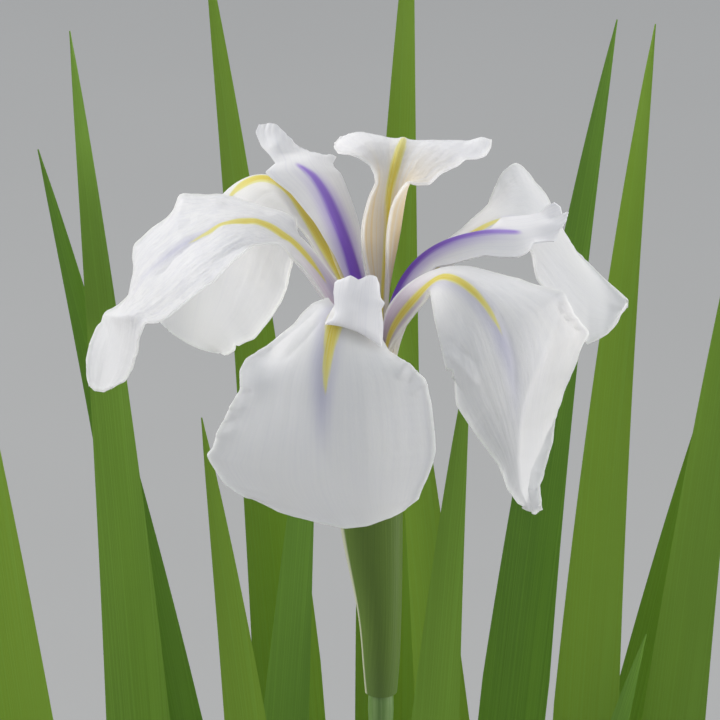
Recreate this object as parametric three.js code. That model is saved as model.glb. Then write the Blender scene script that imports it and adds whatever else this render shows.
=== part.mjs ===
// A white rabbit-ear iris, Iris laevigata, growing in a plain clay pot of wet soil.
// One open flower stands on its stem among fans of sword leaves.
// Millimetres, +Z up, the origin at the centre of the pot's underside, the flower's front towards -Y.
import * as THREE from "three";
import { mergeVertices } from "three/addons/utils/BufferGeometryUtils.js";

// Driving dimensions
const POT_HEIGHT = 165;
const POT_TOP_RADIUS = 112;
const POT_FOOT_RADIUS = 80;
const POT_WALL = 8;
const RIM_HEIGHT = 26;
const RIM_STEP = 5;
const SOIL_TOP = 146;
const HEART_HEIGHT = 560;
const VIEW_TILT = THREE.MathUtils.degToRad(24);
const PETAL_THICKNESS = 0.7;
const CLAW_THICKNESS = 1.4;
const STYLE_THICKNESS = 0.8;
const LEAF_WIDTH = 17;
const LEAF_THICKNESS = 2;
const STEM_RADIUS = 2.9;
const SPATHE_BASE = 470;
const TUBE_TOP = 554;
const GAP = 0.3;

const part = new THREE.Group();
const heart = new THREE.Vector3(1.5, 0, HEART_HEIGHT);

// Colours of the living parts, the clay and the soil
const finishes = {
  petal: new THREE.MeshStandardMaterial({ color: 0xf1f0f4, roughness: 0.55 }),
  style: new THREE.MeshStandardMaterial({ color: 0xe4dcee, roughness: 0.5 }),
  anther: new THREE.MeshStandardMaterial({ color: 0xd9cf9a, roughness: 0.8 }),
  stem: new THREE.MeshStandardMaterial({ color: 0x5d7f3a, roughness: 0.5 }),
  leaf: new THREE.MeshStandardMaterial({ color: 0x4f7f2b, roughness: 0.45 }),
  soil: new THREE.MeshStandardMaterial({ color: 0x33261c, roughness: 0.9 }),
  clay: new THREE.MeshStandardMaterial({ color: 0xa85f3f, roughness: 0.8 }),
};

function add(name, geometry, finish) {
  const mesh = new THREE.Mesh(geometry, finishes[finish].clone());
  mesh.name = name;
  part.add(mesh);
}

// Uniform cubic B-spline over evenly spaced points; it begins and ends at its end points
function curveAt(points, position) {
  const last = points.length - 1;
  const index = Math.min(Math.floor(position * last), last - 1);
  const f = position * last - index;
  const at = (k) => {
    if (k < 0) return points[0].clone().multiplyScalar(2).sub(points[1]);
    if (k > last) return points[last].clone().multiplyScalar(2).sub(points[last - 1]);
    return points[k];
  };
  const weights = [
    (1 - f) ** 3,
    3 * f ** 3 - 6 * f ** 2 + 4,
    -3 * f ** 3 + 3 * f ** 2 + 3 * f + 1,
    f ** 3,
  ];
  const point = new THREE.Vector3();
  weights.forEach((weight, k) => point.addScaledVector(at(index - 1 + k), weight / 6));
  return point;
}

// Geometry of a closed solid, turned so that its faces point outwards
function solidGeometry(vertices, triangles) {
  let volume = 0;
  const normal = new THREE.Vector3();
  for (const [a, b, c] of triangles)
    volume += normal.crossVectors(vertices[b], vertices[c]).dot(vertices[a]);
  const faces = volume < 0 ? triangles.map(([a, b, c]) => [a, c, b]) : triangles;
  const geometry = new THREE.BufferGeometry();
  geometry.setAttribute("position",
    new THREE.Float32BufferAttribute(vertices.flatMap((v) => v.toArray()), 3));
  geometry.setIndex(faces.flat());
  geometry.computeVertexNormals();
  return geometry;
}

// Thin solid on both sides of the surface that surface(along, across) gives, with along from 0 to 1
// and across from -1 to 1
function sheetSolid(surface, rows, columns, thicknessAt) {
  const step = 1e-3;
  const vertices = [[], []];
  for (let i = 0; i <= rows; i++)
    for (let j = 0; j <= columns; j++) {
      const along = i / rows;
      const across = (2 * j) / columns - 1;
      const centre = surface(along, across);
      const ahead = along < 0.5 ? step : -step;
      const aside = across < 0 ? step : -step;
      const du = surface(along + ahead, across).sub(centre).multiplyScalar(Math.sign(ahead));
      const dv = surface(along, across + aside).sub(centre).multiplyScalar(Math.sign(aside));
      const normal = du.cross(dv).normalize();
      const half = thicknessAt(along, across) / 2;
      vertices[0].push(centre.clone().addScaledVector(normal, half));
      vertices[1].push(centre.clone().addScaledVector(normal, -half));
    }
  const sideCount = (rows + 1) * (columns + 1);
  const at = (side, i, j) => side * sideCount + i * (columns + 1) + j;
  const triangles = [];
  const quad = (a, b, c, d) => triangles.push([a, b, c], [a, c, d]);
  for (let i = 0; i < rows; i++)
    for (let j = 0; j < columns; j++) {
      quad(at(0, i, j), at(0, i + 1, j), at(0, i + 1, j + 1), at(0, i, j + 1));
      quad(at(1, i, j), at(1, i, j + 1), at(1, i + 1, j + 1), at(1, i + 1, j));
    }
  for (let i = 0; i < rows; i++) {
    quad(at(0, i, 0), at(1, i, 0), at(1, i + 1, 0), at(0, i + 1, 0));
    quad(at(0, i, columns), at(0, i + 1, columns), at(1, i + 1, columns), at(1, i, columns));
  }
  for (let j = 0; j < columns; j++) {
    quad(at(0, 0, j), at(0, 0, j + 1), at(1, 0, j + 1), at(1, 0, j));
    quad(at(0, rows, j), at(1, rows, j), at(1, rows, j + 1), at(0, rows, j + 1));
  }
  return solidGeometry(vertices.flat(), triangles);
}

// Solid through a row of rings, each a list of the same number of points, closed flat at both ends
function ringSolid(rings) {
  const count = rings[0].length;
  const triangles = [];
  for (let i = 0; i + 1 < rings.length; i++)
    for (let j = 0; j < count; j++) {
      const k = (j + 1) % count;
      const [a, b, c, d] = [i * count + j, i * count + k, (i + 1) * count + k, (i + 1) * count + j];
      triangles.push([a, b, c], [a, c, d]);
    }
  const top = (rings.length - 1) * count;
  for (let j = 1; j + 1 < count; j++) {
    triangles.push([0, j + 1, j]);
    triangles.push([top, top + j, top + j + 1]);
  }
  return solidGeometry(rings.flat(), triangles);
}

// The flower is drawn as a viewer sees it who stands in front and looks down by VIEW_TILT:
// a point is [to the right, up the view, towards the viewer] from the heart, where the claws meet.
function seen([right, up, near]) {
  const y = up * Math.sin(VIEW_TILT) - near * Math.cos(VIEW_TILT);
  const z = up * Math.cos(VIEW_TILT) + near * Math.sin(VIEW_TILT);
  return new THREE.Vector3(right, y, z).add(heart);
}

// Surface of a petal or style from its rows, foot to tip. A row is [left margin, midrib, right margin]
// as seen from outside the flower, or five points where a margin is rolled in; belly lifts each half
// between midrib and margin.
function petalSurface(rows, belly) {
  const midribs = rows.map((row) => seen(row[(row.length - 1) / 2]));
  const columns = [0, 1, 2, 3, 4].map(() => []);
  rows.forEach((row, i) => {
    const points = row.map(seen);
    if (points.length === 3) {
      const [left, mid, right] = points;
      const ahead = midribs[Math.min(i + 1, rows.length - 1)].clone()
        .sub(midribs[Math.max(i - 1, 0)]);
      const upper = ahead.cross(right.clone().sub(left)).normalize();
      const quarter = (margin) => margin.clone().add(mid).multiplyScalar(0.5)
        .addScaledVector(upper, belly * margin.distanceTo(mid));
      points.splice(1, 0, quarter(left));
      points.splice(3, 0, quarter(right));
    }
    points.forEach((point, j) => columns[j].push(point));
  });
  return (along, across) =>
    curveAt(columns.map((column) => curveAt(column, along)), (across + 1) / 2);
}

// The six petals: three falls under the styles, and three standards of the same shape between them
const petals = {
  fall_front: {
    belly: 0.04,
    rows: [
      [[-3.5, -6.3, -0.6], [-2.5, -6.5, -0.2], [-1.5, -6.6, 0.1]],
      [[-6.2, -0.4, 6.6], [-4.1, -1.2, 7.4], [-2.2, -1.6, 7.8]],
      [[-10.4, 4.8, 17.6], [-7.4, 3.4, 19], [-4, 2.2, 19.2]],
      [[-14, 9.2, 29], [-9.6, 6.8, 31.4], [-3.4, 4.4, 30]],
      [[-19, 9.6, 35], [-12, 7.6, 38.6], [-2, 2.6, 36]],
      [[-25.6, 3.6, 37.5], [-13, 2.6, 42.8], [0.6, -2.2, 39.6]],
      [[-30.6, -0.8, 39], [-14.2, -4, 44.6], [5.4, -5, 41.2]],
      [[-34, -6, 40.4], [-14.8, -11, 44.4], [8.6, -9.6, 41]],
      [[-35.2, -12.6, 39.6], [-15, -19, 42.6], [10.4, -17.6, 39.4]],
      [[-39.8, -20.4, 37], [-14.6, -26.6, 39.6], [11, -25.4, 36.6]],
      [[-42.6, -27.6, 33.6], [-13.4, -33.4, 36.2], [9.4, -32.6, 33.6]],
      [[-34.6, -33.8, 31.4], [-12, -38.8, 32.6], [4.2, -37.8, 31.6]],
      [[-23, -38.6, 30.4], [-10.6, -42, 30], [-1, -39.9, 30.4]],
    ],
  },
  fall_right: {
    belly: 0.04,
    rows: [
      [[1.2, -5.8, -1.8], [1.1, -5.3, -2.8], [0.9, -4.9, -3.7]],
      [[1.9, -0.4, 0.8], [1.6, 0.6, -0.8], [1.2, 1.4, -2.2]],
      [[5.6, 8.6, 0.6], [4.6, 9.8, -1.6], [3.6, 11, -4]],
      [[11.6, 16, 1.4], [10.4, 17.4, -1.6], [9, 19, -5]],
      [[18, 21, 2.6], [16.4, 23.4, -1.4], [14.4, 25.8, -5.8]],
      [[23.4, 23.4, 6], [21.8, 27.4, 0], [18.6, 28.8, -6]],
      [[28.2, 23, 9.2], [26.8, 29.4, 1], [23.2, 33.2, -9]],
      [[32.2, 20.4, 10.6], [31.4, 28.9, 1.2], [26.2, 40, -14]],
      [[33.4, 14.6, 10], [35.4, 26.2, 0.4], [30.4, 44.8, -17.4]],
      [[35.4, 8, 8], [39.8, 21.8, -1], [35.4, 39.6, -17]],
      [[39.4, 2.2, 5], [44.2, 16.8, -2.6], [40.4, 30.6, -14.6]],
      [[45.6, 0, 1.4], [48.4, 12.4, -4.6], [45.2, 21.6, -11.4]],
      [[52, 2, -2.6], [52.4, 8.4, -6.4], [51.2, 15.6, -9.2]],
      [[55.4, 6.8, -6], [56, 8.8, -7.4], [56, 10.6, -8]],
    ],
  },
  fall_left: {
    belly: 0.04,
    rows: [
      [[-2.3, -4.4, -4.9], [-3.1, -4.7, -4.3], [-3.9, -4.9, -3.7]],
      [[-4, 4.8, -5.6], [-5.6, 4, -4.6], [-7, 3, -2.8]],
      [[-7.6, 14.2, -8.4], [-9.4, 13, -7], [-11.2, 11.8, -5]],
      [[-12.2, 23.6, -10.4], [-14.4, 22, -8.6], [-16, 20.2, -6.4]],
      [[-15.6, 31.4, -13], [-17.4, 30.6, -11.6], [-18.8, 29.6, -10.4], [-19.8, 28.6, -9], [-20, 27.4, -7]],
      [[-20, 37.4, -18], [-22, 37.4, -15], [-23.2, 36.4, -12.4], [-23.4, 34, -9], [-22.4, 31, -8]],
      [[-27, 39.4, -28], [-28, 41, -21], [-28.4, 40.6, -14.8], [-27, 36, -9.6], [-21.8, 26.4, -12]],
      [[-35.4, 36, -34], [-35, 39.4, -27], [-33.8, 40, -20.4], [-30, 33.6, -13.6], [-21.6, 20.4, -16]],
      [[-42.6, 29.6, -39], [-41, 34.6, -32.6], [-38.4, 36.6, -26.4], [-33, 27.6, -18.6], [-22.6, 14.2, -20]],
      [[-48.4, 23.4, -43], [-42.2, 30.4, -31], [-24.6, 8.6, -24]],
      [[-52.4, 17, -45], [-45, 21.6, -35], [-27.6, 3.4, -28]],
      [[-54.6, 10.6, -46], [-46.4, 12.4, -38], [-32, -1.6, -32]],
      [[-55, 5, -46], [-47.4, 5, -41], [-37.8, -3.4, -36]],
      [[-52, 1.4, -45], [-47.6, -0.6, -43], [-42.4, -2.6, -39.6]],
    ],
  },
  standard_left: {
    belly: 0.04,
    rows: [
      [[-4.2, -5.2, -3.1], [-4.1, -5.6, -2.1], [-3.9, -6.1, -1.2]],
      [[-6.8, 3.4, 0.2], [-8.2, 1.8, 2.2], [-9, 0.4, 4]],
      [[-11.6, 13.4, 4.8], [-13, 12.2, 7.6], [-14.2, 9.4, 10]],
      [[-16.4, 20.2, 9.6], [-18, 19.4, 11.8], [-19, 16.8, 14.6]],
      [[-21.2, 25.4, 10], [-23, 25, 14.8], [-23.8, 21.6, 17.4]],
      [[-26, 31.6, 3], [-29.4, 28.6, 17.2], [-29.4, 23.6, 23]],
      [[-33, 34.2, -3], [-36, 29, 18.4], [-33.8, 22.2, 30]],
      [[-41.4, 34.2, -6], [-43, 26.6, 18.6], [-38.4, 16.4, 33.6]],
      [[-50, 36, -7], [-49.4, 21.8, 17.4], [-43.4, 11, 33.4]],
      [[-58.4, 26.4, -5], [-55, 17, 15.4], [-49.2, 7, 30]],
      [[-59.4, 19, -1], [-59, 11, 13], [-55, 5.4, 25.4]],
      [[-56.8, 12.6, 4], [-62, 6, 11], [-56.2, 2.6, 22]],
      [[-66.6, 7, 5], [-64.4, 1, 9.6], [-57.4, -2, 17.6]],
      [[-70.2, -1.8, 4.6], [-66.6, -5, 7.6], [-60.6, -7.6, 13.4]],
      [[-69.4, -10, 4.4], [-67.6, -11.4, 6.4], [-64.6, -11, 9.6]],
    ],
  },
  standard_right: {
    belly: 0.04,
    rows: [
      [[-0.7, -6.6, 0], [0.1, -6.3, -0.6], [0.9, -6.1, -1.2]],
      [[0.6, -0.4, 7], [-0.1, 1, 6], [-1.6, 3.4, 4.4]],
      [[4.4, 5, 15], [3, 6.6, 13.8], [0.2, 9.6, 11]],
      [[9.4, 11, 23], [7.2, 11.4, 21.4], [4.8, 14.4, 17]],
      [[10.4, 11.8, 29.6], [11.6, 16, 28.2], [11.8, 17.8, 20]],
      [[11, 4.6, 32.6], [15.2, 16, 32], [17.6, 18.2, 20.6]],
      [[11.4, -1, 33], [19.6, 13, 33.6], [25, 16.2, 20]],
      [[13.6, -6.4, 32], [18.2, 1.4, 34.6], [23.2, 8, 33.6], [28.4, 12, 29.6], [32.6, 14.6, 22]],
      [[14.8, -12.4, 30.4], [20, -4.8, 33], [26, 1.4, 32.2], [34.6, 7, 29.4], [41.6, 12.6, 22.6]],
      [[17.6, -18.4, 27.6], [22.8, -12.2, 30.4], [28.4, -6.6, 30.4], [37, -0.6, 26.2], [47.8, 4.2, 5.6]],
      [[22.4, -23.4, 24.2], [26, -19, 27], [29.4, -15, 27.6], [34, -10.4, 23], [44, -6.4, 5]],
      [[26.8, -29, 20.4], [28.2, -26, 22.8], [29.8, -23, 23.2], [33.4, -20.6, 16.4], [40.4, -15.6, 7.2]],
      [[29, -34.4, 17], [29.8, -32.4, 18.8], [31, -30.4, 19], [33.6, -28.8, 14.8], [37.6, -26, 12]],
      [[32.4, -38.4, 14], [32.6, -37.4, 14.8], [33.2, -36.2, 15.2], [34, -35.2, 14.2], [34.4, -34, 13.6]],
      [[33.2, -38.7, 13], [34.1, -38.7, 13.4], [34.8, -38, 12.6]],
    ],
  },
  standard_back: {
    belly: -0.04,
    rows: [
      [[0.5, -4.7, -4.3], [0, -4.6, -4.5], [-0.5, -4.5, -4.6], [-1, -4.4, -4.8], [-1.5, -4.3, -5]],
      [[-0.5, 8.4, -2.8], [-0.8, 8.6, -3.5], [-1.5, 8.6, -4], [-2.2, 8.6, -4], [-2.8, 8.6, -3.6]],
      [[-0.3, 17.4, 4], [1.4, 17.6, 1.5], [-0.7, 18, -0.2], [-3.4, 18, 0.2], [-5.2, 18, 2]],
      [[-0.6, 26.6, 12.2], [4.3, 26, 8.8], [-0.2, 27, 5.2], [-3.8, 27, 5.6], [-6.7, 26.5, 8.2]],
      [[1.6, 35.2, 13.8], [5.4, 34.4, 11.4], [-0.2, 34.8, 8], [-3.2, 34.8, 8.8], [-4.2, 34.8, 10]],
      [[5.6, 37.2, 14.6], [5.8, 38.6, 12], [0.9, 39.4, 9.6], [-1.8, 39, 10.4], [-2.8, 39, 11.2]],
      [[12, 38.4, 14.8], [8.4, 42.6, 12.4], [2.2, 44, 9.4], [-3, 43.4, 10.8], [-6.4, 42.2, 12]],
      [[19, 42.4, 13], [12.8, 46.4, 9.6], [3.6, 48, 6], [-5, 48, 9], [-11.8, 43.6, 10.6]],
      [[25, 44.4, 8], [16.4, 49, 3], [4.2, 47.8, -1], [-9.6, 51.6, 3.6], [-15.4, 46.4, 6]],
      [[22.4, 47.4, -3], [16, 49, -7.6], [5.4, 47, -10], [-8, 50.4, -7], [-13.6, 48.6, -3]],
      [[21, 45.4, -15], [14.6, 46.4, -19.4], [6.4, 46, -21.6], [-2.6, 46.6, -20.8], [-9.6, 47, -18]],
      [[19, 44.4, -26], [13.4, 45.4, -29.8], [7, 45, -31.6], [0, 45.6, -31], [-5, 46, -27.6]],
      [[13, 44, -35], [10.6, 44.4, -37.4], [7.6, 44.2, -38.4], [4, 44.6, -37.6], [1.4, 45, -35.6]],
    ],
  },
};
const petalThickness = (along) =>
  PETAL_THICKNESS + (CLAW_THICKNESS - PETAL_THICKNESS) * Math.max(0, 1 - along / 0.35);
for (const [name, { rows, belly }] of Object.entries(petals))
  add(name, sheetSolid(petalSurface(rows, belly), 16, 8, petalThickness), "petal");

// The style arms over the falls, keeled like a roof and ending in a crest of two lobes
const styles = {
  style_front: {
    belly: 0,
    rows: [
      [[-2.7, -5.7, -2], [-1.9, -5.85, -1.7], [-1.1, -6, -1.4]],
      [[-4.4, 2, 5], [-2.6, 3, 5], [-1, 2, 5.4]],
      [[-7.4, 6.4, 15], [-4.6, 9, 14.6], [-1.8, 6.6, 15]],
      [[-10.6, 9.6, 26], [-6.2, 12.2, 25], [-2.2, 9.6, 25.6]],
      [[-12.2, 9.4, 36], [-7.4, 12, 35], [-1.6, 8.4, 35]],
      [[-14.8, 3.8, 43.8], [-9, 0.6, 46.4], [-0.8, -2.6, 43.8]],
      [[-14, 8.8, 43.6], [-8.4, 8.2, 45], [-1.2, 7, 42.6]],
      [[-12, 13.2, 41], [-7.4, 12.4, 42.2], [-1.8, 12, 40.4]],
      [[-11.2, 14.6, 39.8], [-7, 14.8, 40.6], [-2.6, 14.8, 38.8]],
    ],
  },
  style_left: {
    belly: 0,
    rows: [
      [[-1.4, -5, -3.6], [-2.1, -5.2, -3.1], [-2.7, -5.4, -2.6]],
      [[-3.2, 4, -2.2], [-4, 4, -1.2], [-4.8, 3.6, -1]],
      [[-4.9, 12.8, -2.8], [-6.4, 12.6, -1.2], [-8.4, 12, -2]],
      [[-6.4, 21.4, -4.8], [-8.8, 21.6, -1.8], [-12.2, 20.6, -4]],
      [[-7.6, 29.6, -7], [-12, 30, -3], [-16.2, 28.6, -6]],
      [[-9.6, 37, -9], [-15.4, 37.8, -5], [-22.4, 35.6, -7]],
      [[-12.4, 41.4, -10.4], [-19.6, 42, -7.6], [-28.2, 40, -7.6]],
      [[-13.2, 42.8, -12], [-20.8, 44.6, -10.4], [-27.6, 43.6, -11.4]],
      [[-12.6, 43.8, -12.6], [-21.6, 46.4, -12.2], [-31, 48, -14]],
      [[-12.3, 43.9, -13], [-22.4, 48, -13.2], [-30, 52, -15]],
    ],
  },
  style_right: {
    belly: 0,
    rows: [
      [[-0.5, -5.75, -1.8], [-0.6, -5.4, -2.6], [-0.7, -5.1, -3.3]],
      [[0.6, 3.2, 1.8], [-0.2, 4, 0.6], [-0.8, 3.8, -1.2]],
      [[3, 10, 4.8], [1, 12, 2.6], [0.7, 11.4, 0]],
      [[8, 15.2, 7.4], [5.2, 19.4, 4.6], [4.6, 17.8, 0.6]],
      [[13.8, 18.4, 9.6], [11.2, 24, 6.6], [10.4, 22, 1.8]],
      [[20, 20.4, 11.6], [17.4, 26, 8], [17, 24.4, 2.6]],
      [[27, 20, 12.6], [24.4, 27, 9], [24, 26.8, 3]],
      [[33, 20.6, 12.8], [31, 25.8, 9.4], [27.4, 29.6, 3]],
      [[36.4, 23, 12.4], [35, 26.6, 9.8], [33, 30.4, 4]],
      [[38.8, 24, 11.4], [38.4, 27.6, 9.4], [36.8, 32, 5.4]],
      [[39.4, 24.4, 11], [40.6, 29, 9], [38.6, 33, 7]],
    ],
  },
};
for (const [name, { rows, belly }] of Object.entries(styles))
  add(name, sheetSolid(petalSurface(rows, belly), 12, 6, () => STYLE_THICKNESS), "style");

// Ovary and perianth tube from the stem's top to the claws, round
function roundSolid(profile, sides) {
  const ring = ([radius, z]) => Array.from({ length: sides }, (_, k) => {
    const angle = (k / sides) * 2 * Math.PI;
    return new THREE.Vector3(radius * Math.cos(angle), radius * Math.sin(angle), z);
  });
  return ringSolid(profile.map(ring));
}
add("ovary", roundSolid([
  [2.2, SPATHE_BASE + 12],
  [2.4, SPATHE_BASE + 24],
  [3.1, SPATHE_BASE + 36],
  [3, SPATHE_BASE + 48],
  [2, SPATHE_BASE + 58],
  [2.2, TUBE_TOP - 12],
  [3.1, TUBE_TOP - GAP],
], 10), "stem");
add("stem", roundSolid([
  [STEM_RADIUS + 1.2, SOIL_TOP + GAP],
  [STEM_RADIUS + 0.6, 260],
  [STEM_RADIUS, SPATHE_BASE],
  [2.2, SPATHE_BASE + 12 - GAP],
], 12), "stem");

// A stamen: filament and long anther in one, lying between a style arm and the claw under it
function stamen(points) {
  const path = points.map(seen);
  const radii = [0.45, 0.5, 0.5, 0.9, 1.2, 1, 0.5];
  const rings = radii.map((radius, i) => {
    const along = i / (radii.length - 1);
    const centre = curveAt(path, along);
    const ahead = curveAt(path, Math.min(along + 0.01, 1))
      .sub(curveAt(path, Math.max(along - 0.01, 0))).normalize();
    const aside = new THREE.Vector3(0, 0, 1).cross(ahead).normalize();
    const over = ahead.clone().cross(aside);
    return [0, 1, 2, 3, 4, 5].map((k) => {
      const angle = (k / 6) * 2 * Math.PI;
      return centre.clone().addScaledVector(aside, radius * Math.cos(angle))
        .addScaledVector(over, radius * Math.sin(angle));
    });
  });
  return ringSolid(rings);
}
add("stamen_front", stamen([
  [-2.8, -2.2, 2.6], [-4, 1.4, 8.8], [-6.4, 5.4, 17.8], [-9, 8.2, 28],
]), "anther");
add("stamen_right", stamen([
  [0.9, 1.8, -0.6], [2.2, 6.4, 0], [6.4, 13.6, 1.2], [14.6, 21.6, 1.8],
]), "anther");
add("stamen_left", stamen([
  [-3.6, -1, -3.2], [-5.2, 4.4, -3], [-8.6, 13, -4.2], [-14, 24.6, -6.6],
]), "anther");

// Sheath wrapped round the stem: a boat-shaped leaf, oval in section, that opens away from its keel.
// Each stage is [height, how far the middle has moved to the keel, half length, half width, half angle].
function sheath(stages, keelDegrees, thickness, rows, columns) {
  const keel = THREE.MathUtils.degToRad(keelDegrees);
  const out = new THREE.Vector3(Math.cos(keel), Math.sin(keel), 0);
  const aside = new THREE.Vector3(-Math.sin(keel), Math.cos(keel), 0);
  const ovals = stages.map(([height, , length, width]) => new THREE.Vector3(height, length, width));
  const turns = stages.map(([, move, , , half]) => new THREE.Vector3(move, half, 0));
  const surface = (along, across) => {
    const oval = curveAt(ovals, along);
    const turn = curveAt(turns, along);
    const angle = across * THREE.MathUtils.degToRad(turn.y);
    return out.clone().multiplyScalar(turn.x + oval.y * Math.cos(angle))
      .addScaledVector(aside, oval.z * Math.sin(angle)).setZ(oval.x);
  };
  return sheetSolid(surface, rows, columns, (along) => thickness * (1 - 0.5 * along));
}
add("spathe_inner", sheath([
  [SPATHE_BASE + 12, 0, 3.2, 3.2, 150],
  [SPATHE_BASE + 28, 0, 3.9, 3.9, 150],
  [SPATHE_BASE + 45, 1, 4.8, 4, 140],
  [SPATHE_BASE + 61, 2.4, 6, 4, 120],
  [SPATHE_BASE + 78, 2.8, 6.4, 3.7, 95],
  [SPATHE_BASE + 90, 3, 6.4, 3.3, 55],
  [SPATHE_BASE + 98, 3.2, 6.4, 3, 10],
], 180, 0.6, 8, 10), "stem");
add("spathe_outer", sheath([
  [SPATHE_BASE, 0, 3.6, 3.6, 168],
  [SPATHE_BASE + 8, 0, 4.3, 4.3, 168],
  [SPATHE_BASE + 20, -0.2, 4.8, 4.8, 168],
  [SPATHE_BASE + 32, -1.4, 6.2, 5, 158],
  [SPATHE_BASE + 44, -2.9, 7.7, 5.1, 150],
  [SPATHE_BASE + 56, -3.6, 8.4, 5.1, 146],
  [SPATHE_BASE + 66, -3.9, 8.6, 4.9, 135],
  [SPATHE_BASE + 76, -3.8, 8.2, 4.8, 92],
  [SPATHE_BASE + 81, -3.6, 7.8, 4.6, 48],
  [SPATHE_BASE + 84, -3.4, 7.5, 4.4, 8],
], 0, 0.6, 8, 10), "stem");
add("stem_leaf", sheath([
  [236, 0, 4.7, 4.7, 165],
  [256, 0, 5, 5, 165],
  [290, 1, 5.8, 5.8, 130],
  [330, 4, 7, 7, 85],
  [370, 10, 8, 8, 55],
  [410, 20, 9, 9, 34],
  [440, 30, 10, 10, 6],
], -24, 0.9, 10, 8), "leaf");

// Sword leaf: a flat blade in the plane of its fan, thickest along the middle, cut slantwise to a point
function swordLeaf({ foot, azimuth, height, lean, droop, side }) {
  const out = new THREE.Vector3(Math.cos(azimuth), Math.sin(azimuth), 0);
  const aside = new THREE.Vector3(-Math.sin(azimuth), Math.cos(azimuth), 0);
  const rows = 11;
  const spine = (t) => foot.clone()
    .addScaledVector(out, height * (lean * t + droop * t ** 3))
    .addScaledVector(aside, side * t ** 2)
    .add(new THREE.Vector3(0, 0, height * (t - 0.45 * droop * t ** 4)));
  const rings = [];
  for (let i = 0; i <= rows; i++) {
    const t = (i / rows) ** 0.85;
    const ahead = i === 0 ? new THREE.Vector3(0, 0, 1)
      : spine(Math.min(t + 0.01, 1)).sub(spine(t - 0.01)).normalize();
    const across = aside.clone().cross(ahead).normalize();
    const over = ahead.clone().cross(across);
    const taper = Math.min(1, 2.6 * (1 - t)) ** 0.8;
    const half = (LEAF_WIDTH / 2) * (0.8 + 0.2 * Math.min(1, 4 * t)) * Math.max(taper, 0.06);
    const thick = (LEAF_THICKNESS / 2) * (1 - 0.6 * t) * Math.max(taper, 0.3);
    const centre = spine(t);
    rings.push([[-half, 0], [0, thick], [half, 0], [0, -thick]].map(([u, v]) =>
      centre.clone().addScaledVector(across, u).addScaledVector(over, v)));
  }
  return ringSolid(rings);
}

// Fans of leaves: the inner leaves stand tall and straight, the outer ones are shorter and lean away.
// A leaf is [its place along the fan, height, lean, droop, sideways bend].
const fans = [
  { x: -4, y: 16, turn: 8, leaves: [
    [-16, 300, -0.16, -0.06, 6], [14, 330, 0.12, 0.05, 8], [-7, 380, -0.05, -0.03, 10],
    [8, 400, 0.02, 0.03, 14]] },
  { x: -54, y: 34, turn: 24, leaves: [
    [-18, 310, -0.17, -0.1, 0], [16, 400, 0.05, 0.02, 6], [-9, 430, -0.07, -0.02, 10],
    [6, 470, -0.02, -0.02, 16], [-1, 450, -0.1, -0.04, 24]] },
  { x: 50, y: 38, turn: -22, leaves: [
    [18, 320, 0.2, 0.1, 0], [-16, 420, -0.06, -0.03, 6], [9, 440, 0.1, 0.04, 10],
    [-6, 480, 0, 0.03, 16], [1, 460, 0.05, 0.02, 24]] },
  { x: 4, y: 68, turn: 4, leaves: [
    [-22, 430, -0.1, -0.05, 0], [22, 440, 0.12, 0.05, 3], [-12, 480, -0.04, -0.03, 8],
    [12, 470, 0.05, 0.04, 12], [0, 500, -0.01, 0.02, 16]] },
  { x: -40, y: -44, turn: -34, leaves: [
    [-14, 230, -0.3, -0.16, -12], [12, 290, 0.02, 0.03, -4], [-4, 310, -0.12, -0.06, 4]] },
  { x: 44, y: -40, turn: 38, leaves: [
    [14, 240, 0.3, 0.16, -12], [-12, 280, -0.02, -0.03, 4], [4, 315, 0.12, 0.05, -5]] },
];
fans.forEach(({ x, y, turn, leaves }, fan) => {
  const azimuth = THREE.MathUtils.degToRad(turn);
  leaves.forEach(([place, height, lean, droop, side], k) => {
    const layer = (k - (leaves.length - 1) / 2) * (LEAF_THICKNESS + 0.6);
    const foot = new THREE.Vector3(
      x + place * Math.cos(azimuth) - layer * Math.sin(azimuth),
      y + place * Math.sin(azimuth) + layer * Math.cos(azimuth),
      SOIL_TOP + GAP);
    add(`leaf_${fan + 1}_${k + 1}`, swordLeaf({ foot, azimuth, height, lean, droop, side }), "leaf");
  });
});

// The pot, turned round, with a thick rim, and the soil that fills it
function turned(profile) {
  const points = profile.map(([radius, z]) => new THREE.Vector2(radius, z));
  const lathe = new THREE.LatheGeometry(points, 40);
  lathe.rotateX(Math.PI / 2);
  lathe.deleteAttribute("normal");
  lathe.deleteAttribute("uv");
  return mergeVertices(lathe, 1e-4);
}
const taper = (POT_TOP_RADIUS - RIM_STEP - POT_FOOT_RADIUS) / POT_HEIGHT;
const innerRadius = (z) => POT_FOOT_RADIUS - POT_WALL + taper * z;
const rimFoot = POT_HEIGHT - RIM_HEIGHT;
const outerRadius = (z) => POT_FOOT_RADIUS + taper * z;
add("pot", turned([
  [0, 0],
  [POT_FOOT_RADIUS - 3, 0],
  [outerRadius(3), 3],
  [outerRadius(rimFoot), rimFoot],
  [outerRadius(rimFoot) + RIM_STEP, rimFoot + 2],
  [POT_TOP_RADIUS, POT_HEIGHT - 3],
  [POT_TOP_RADIUS - 3, POT_HEIGHT],
  [innerRadius(POT_HEIGHT) + 2, POT_HEIGHT],
  [innerRadius(POT_HEIGHT - 3), POT_HEIGHT - 3],
  [innerRadius(POT_WALL + 6), POT_WALL + 6],
  [innerRadius(POT_WALL + 6) - 6, POT_WALL],
  [0, POT_WALL],
]), "clay");
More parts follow.
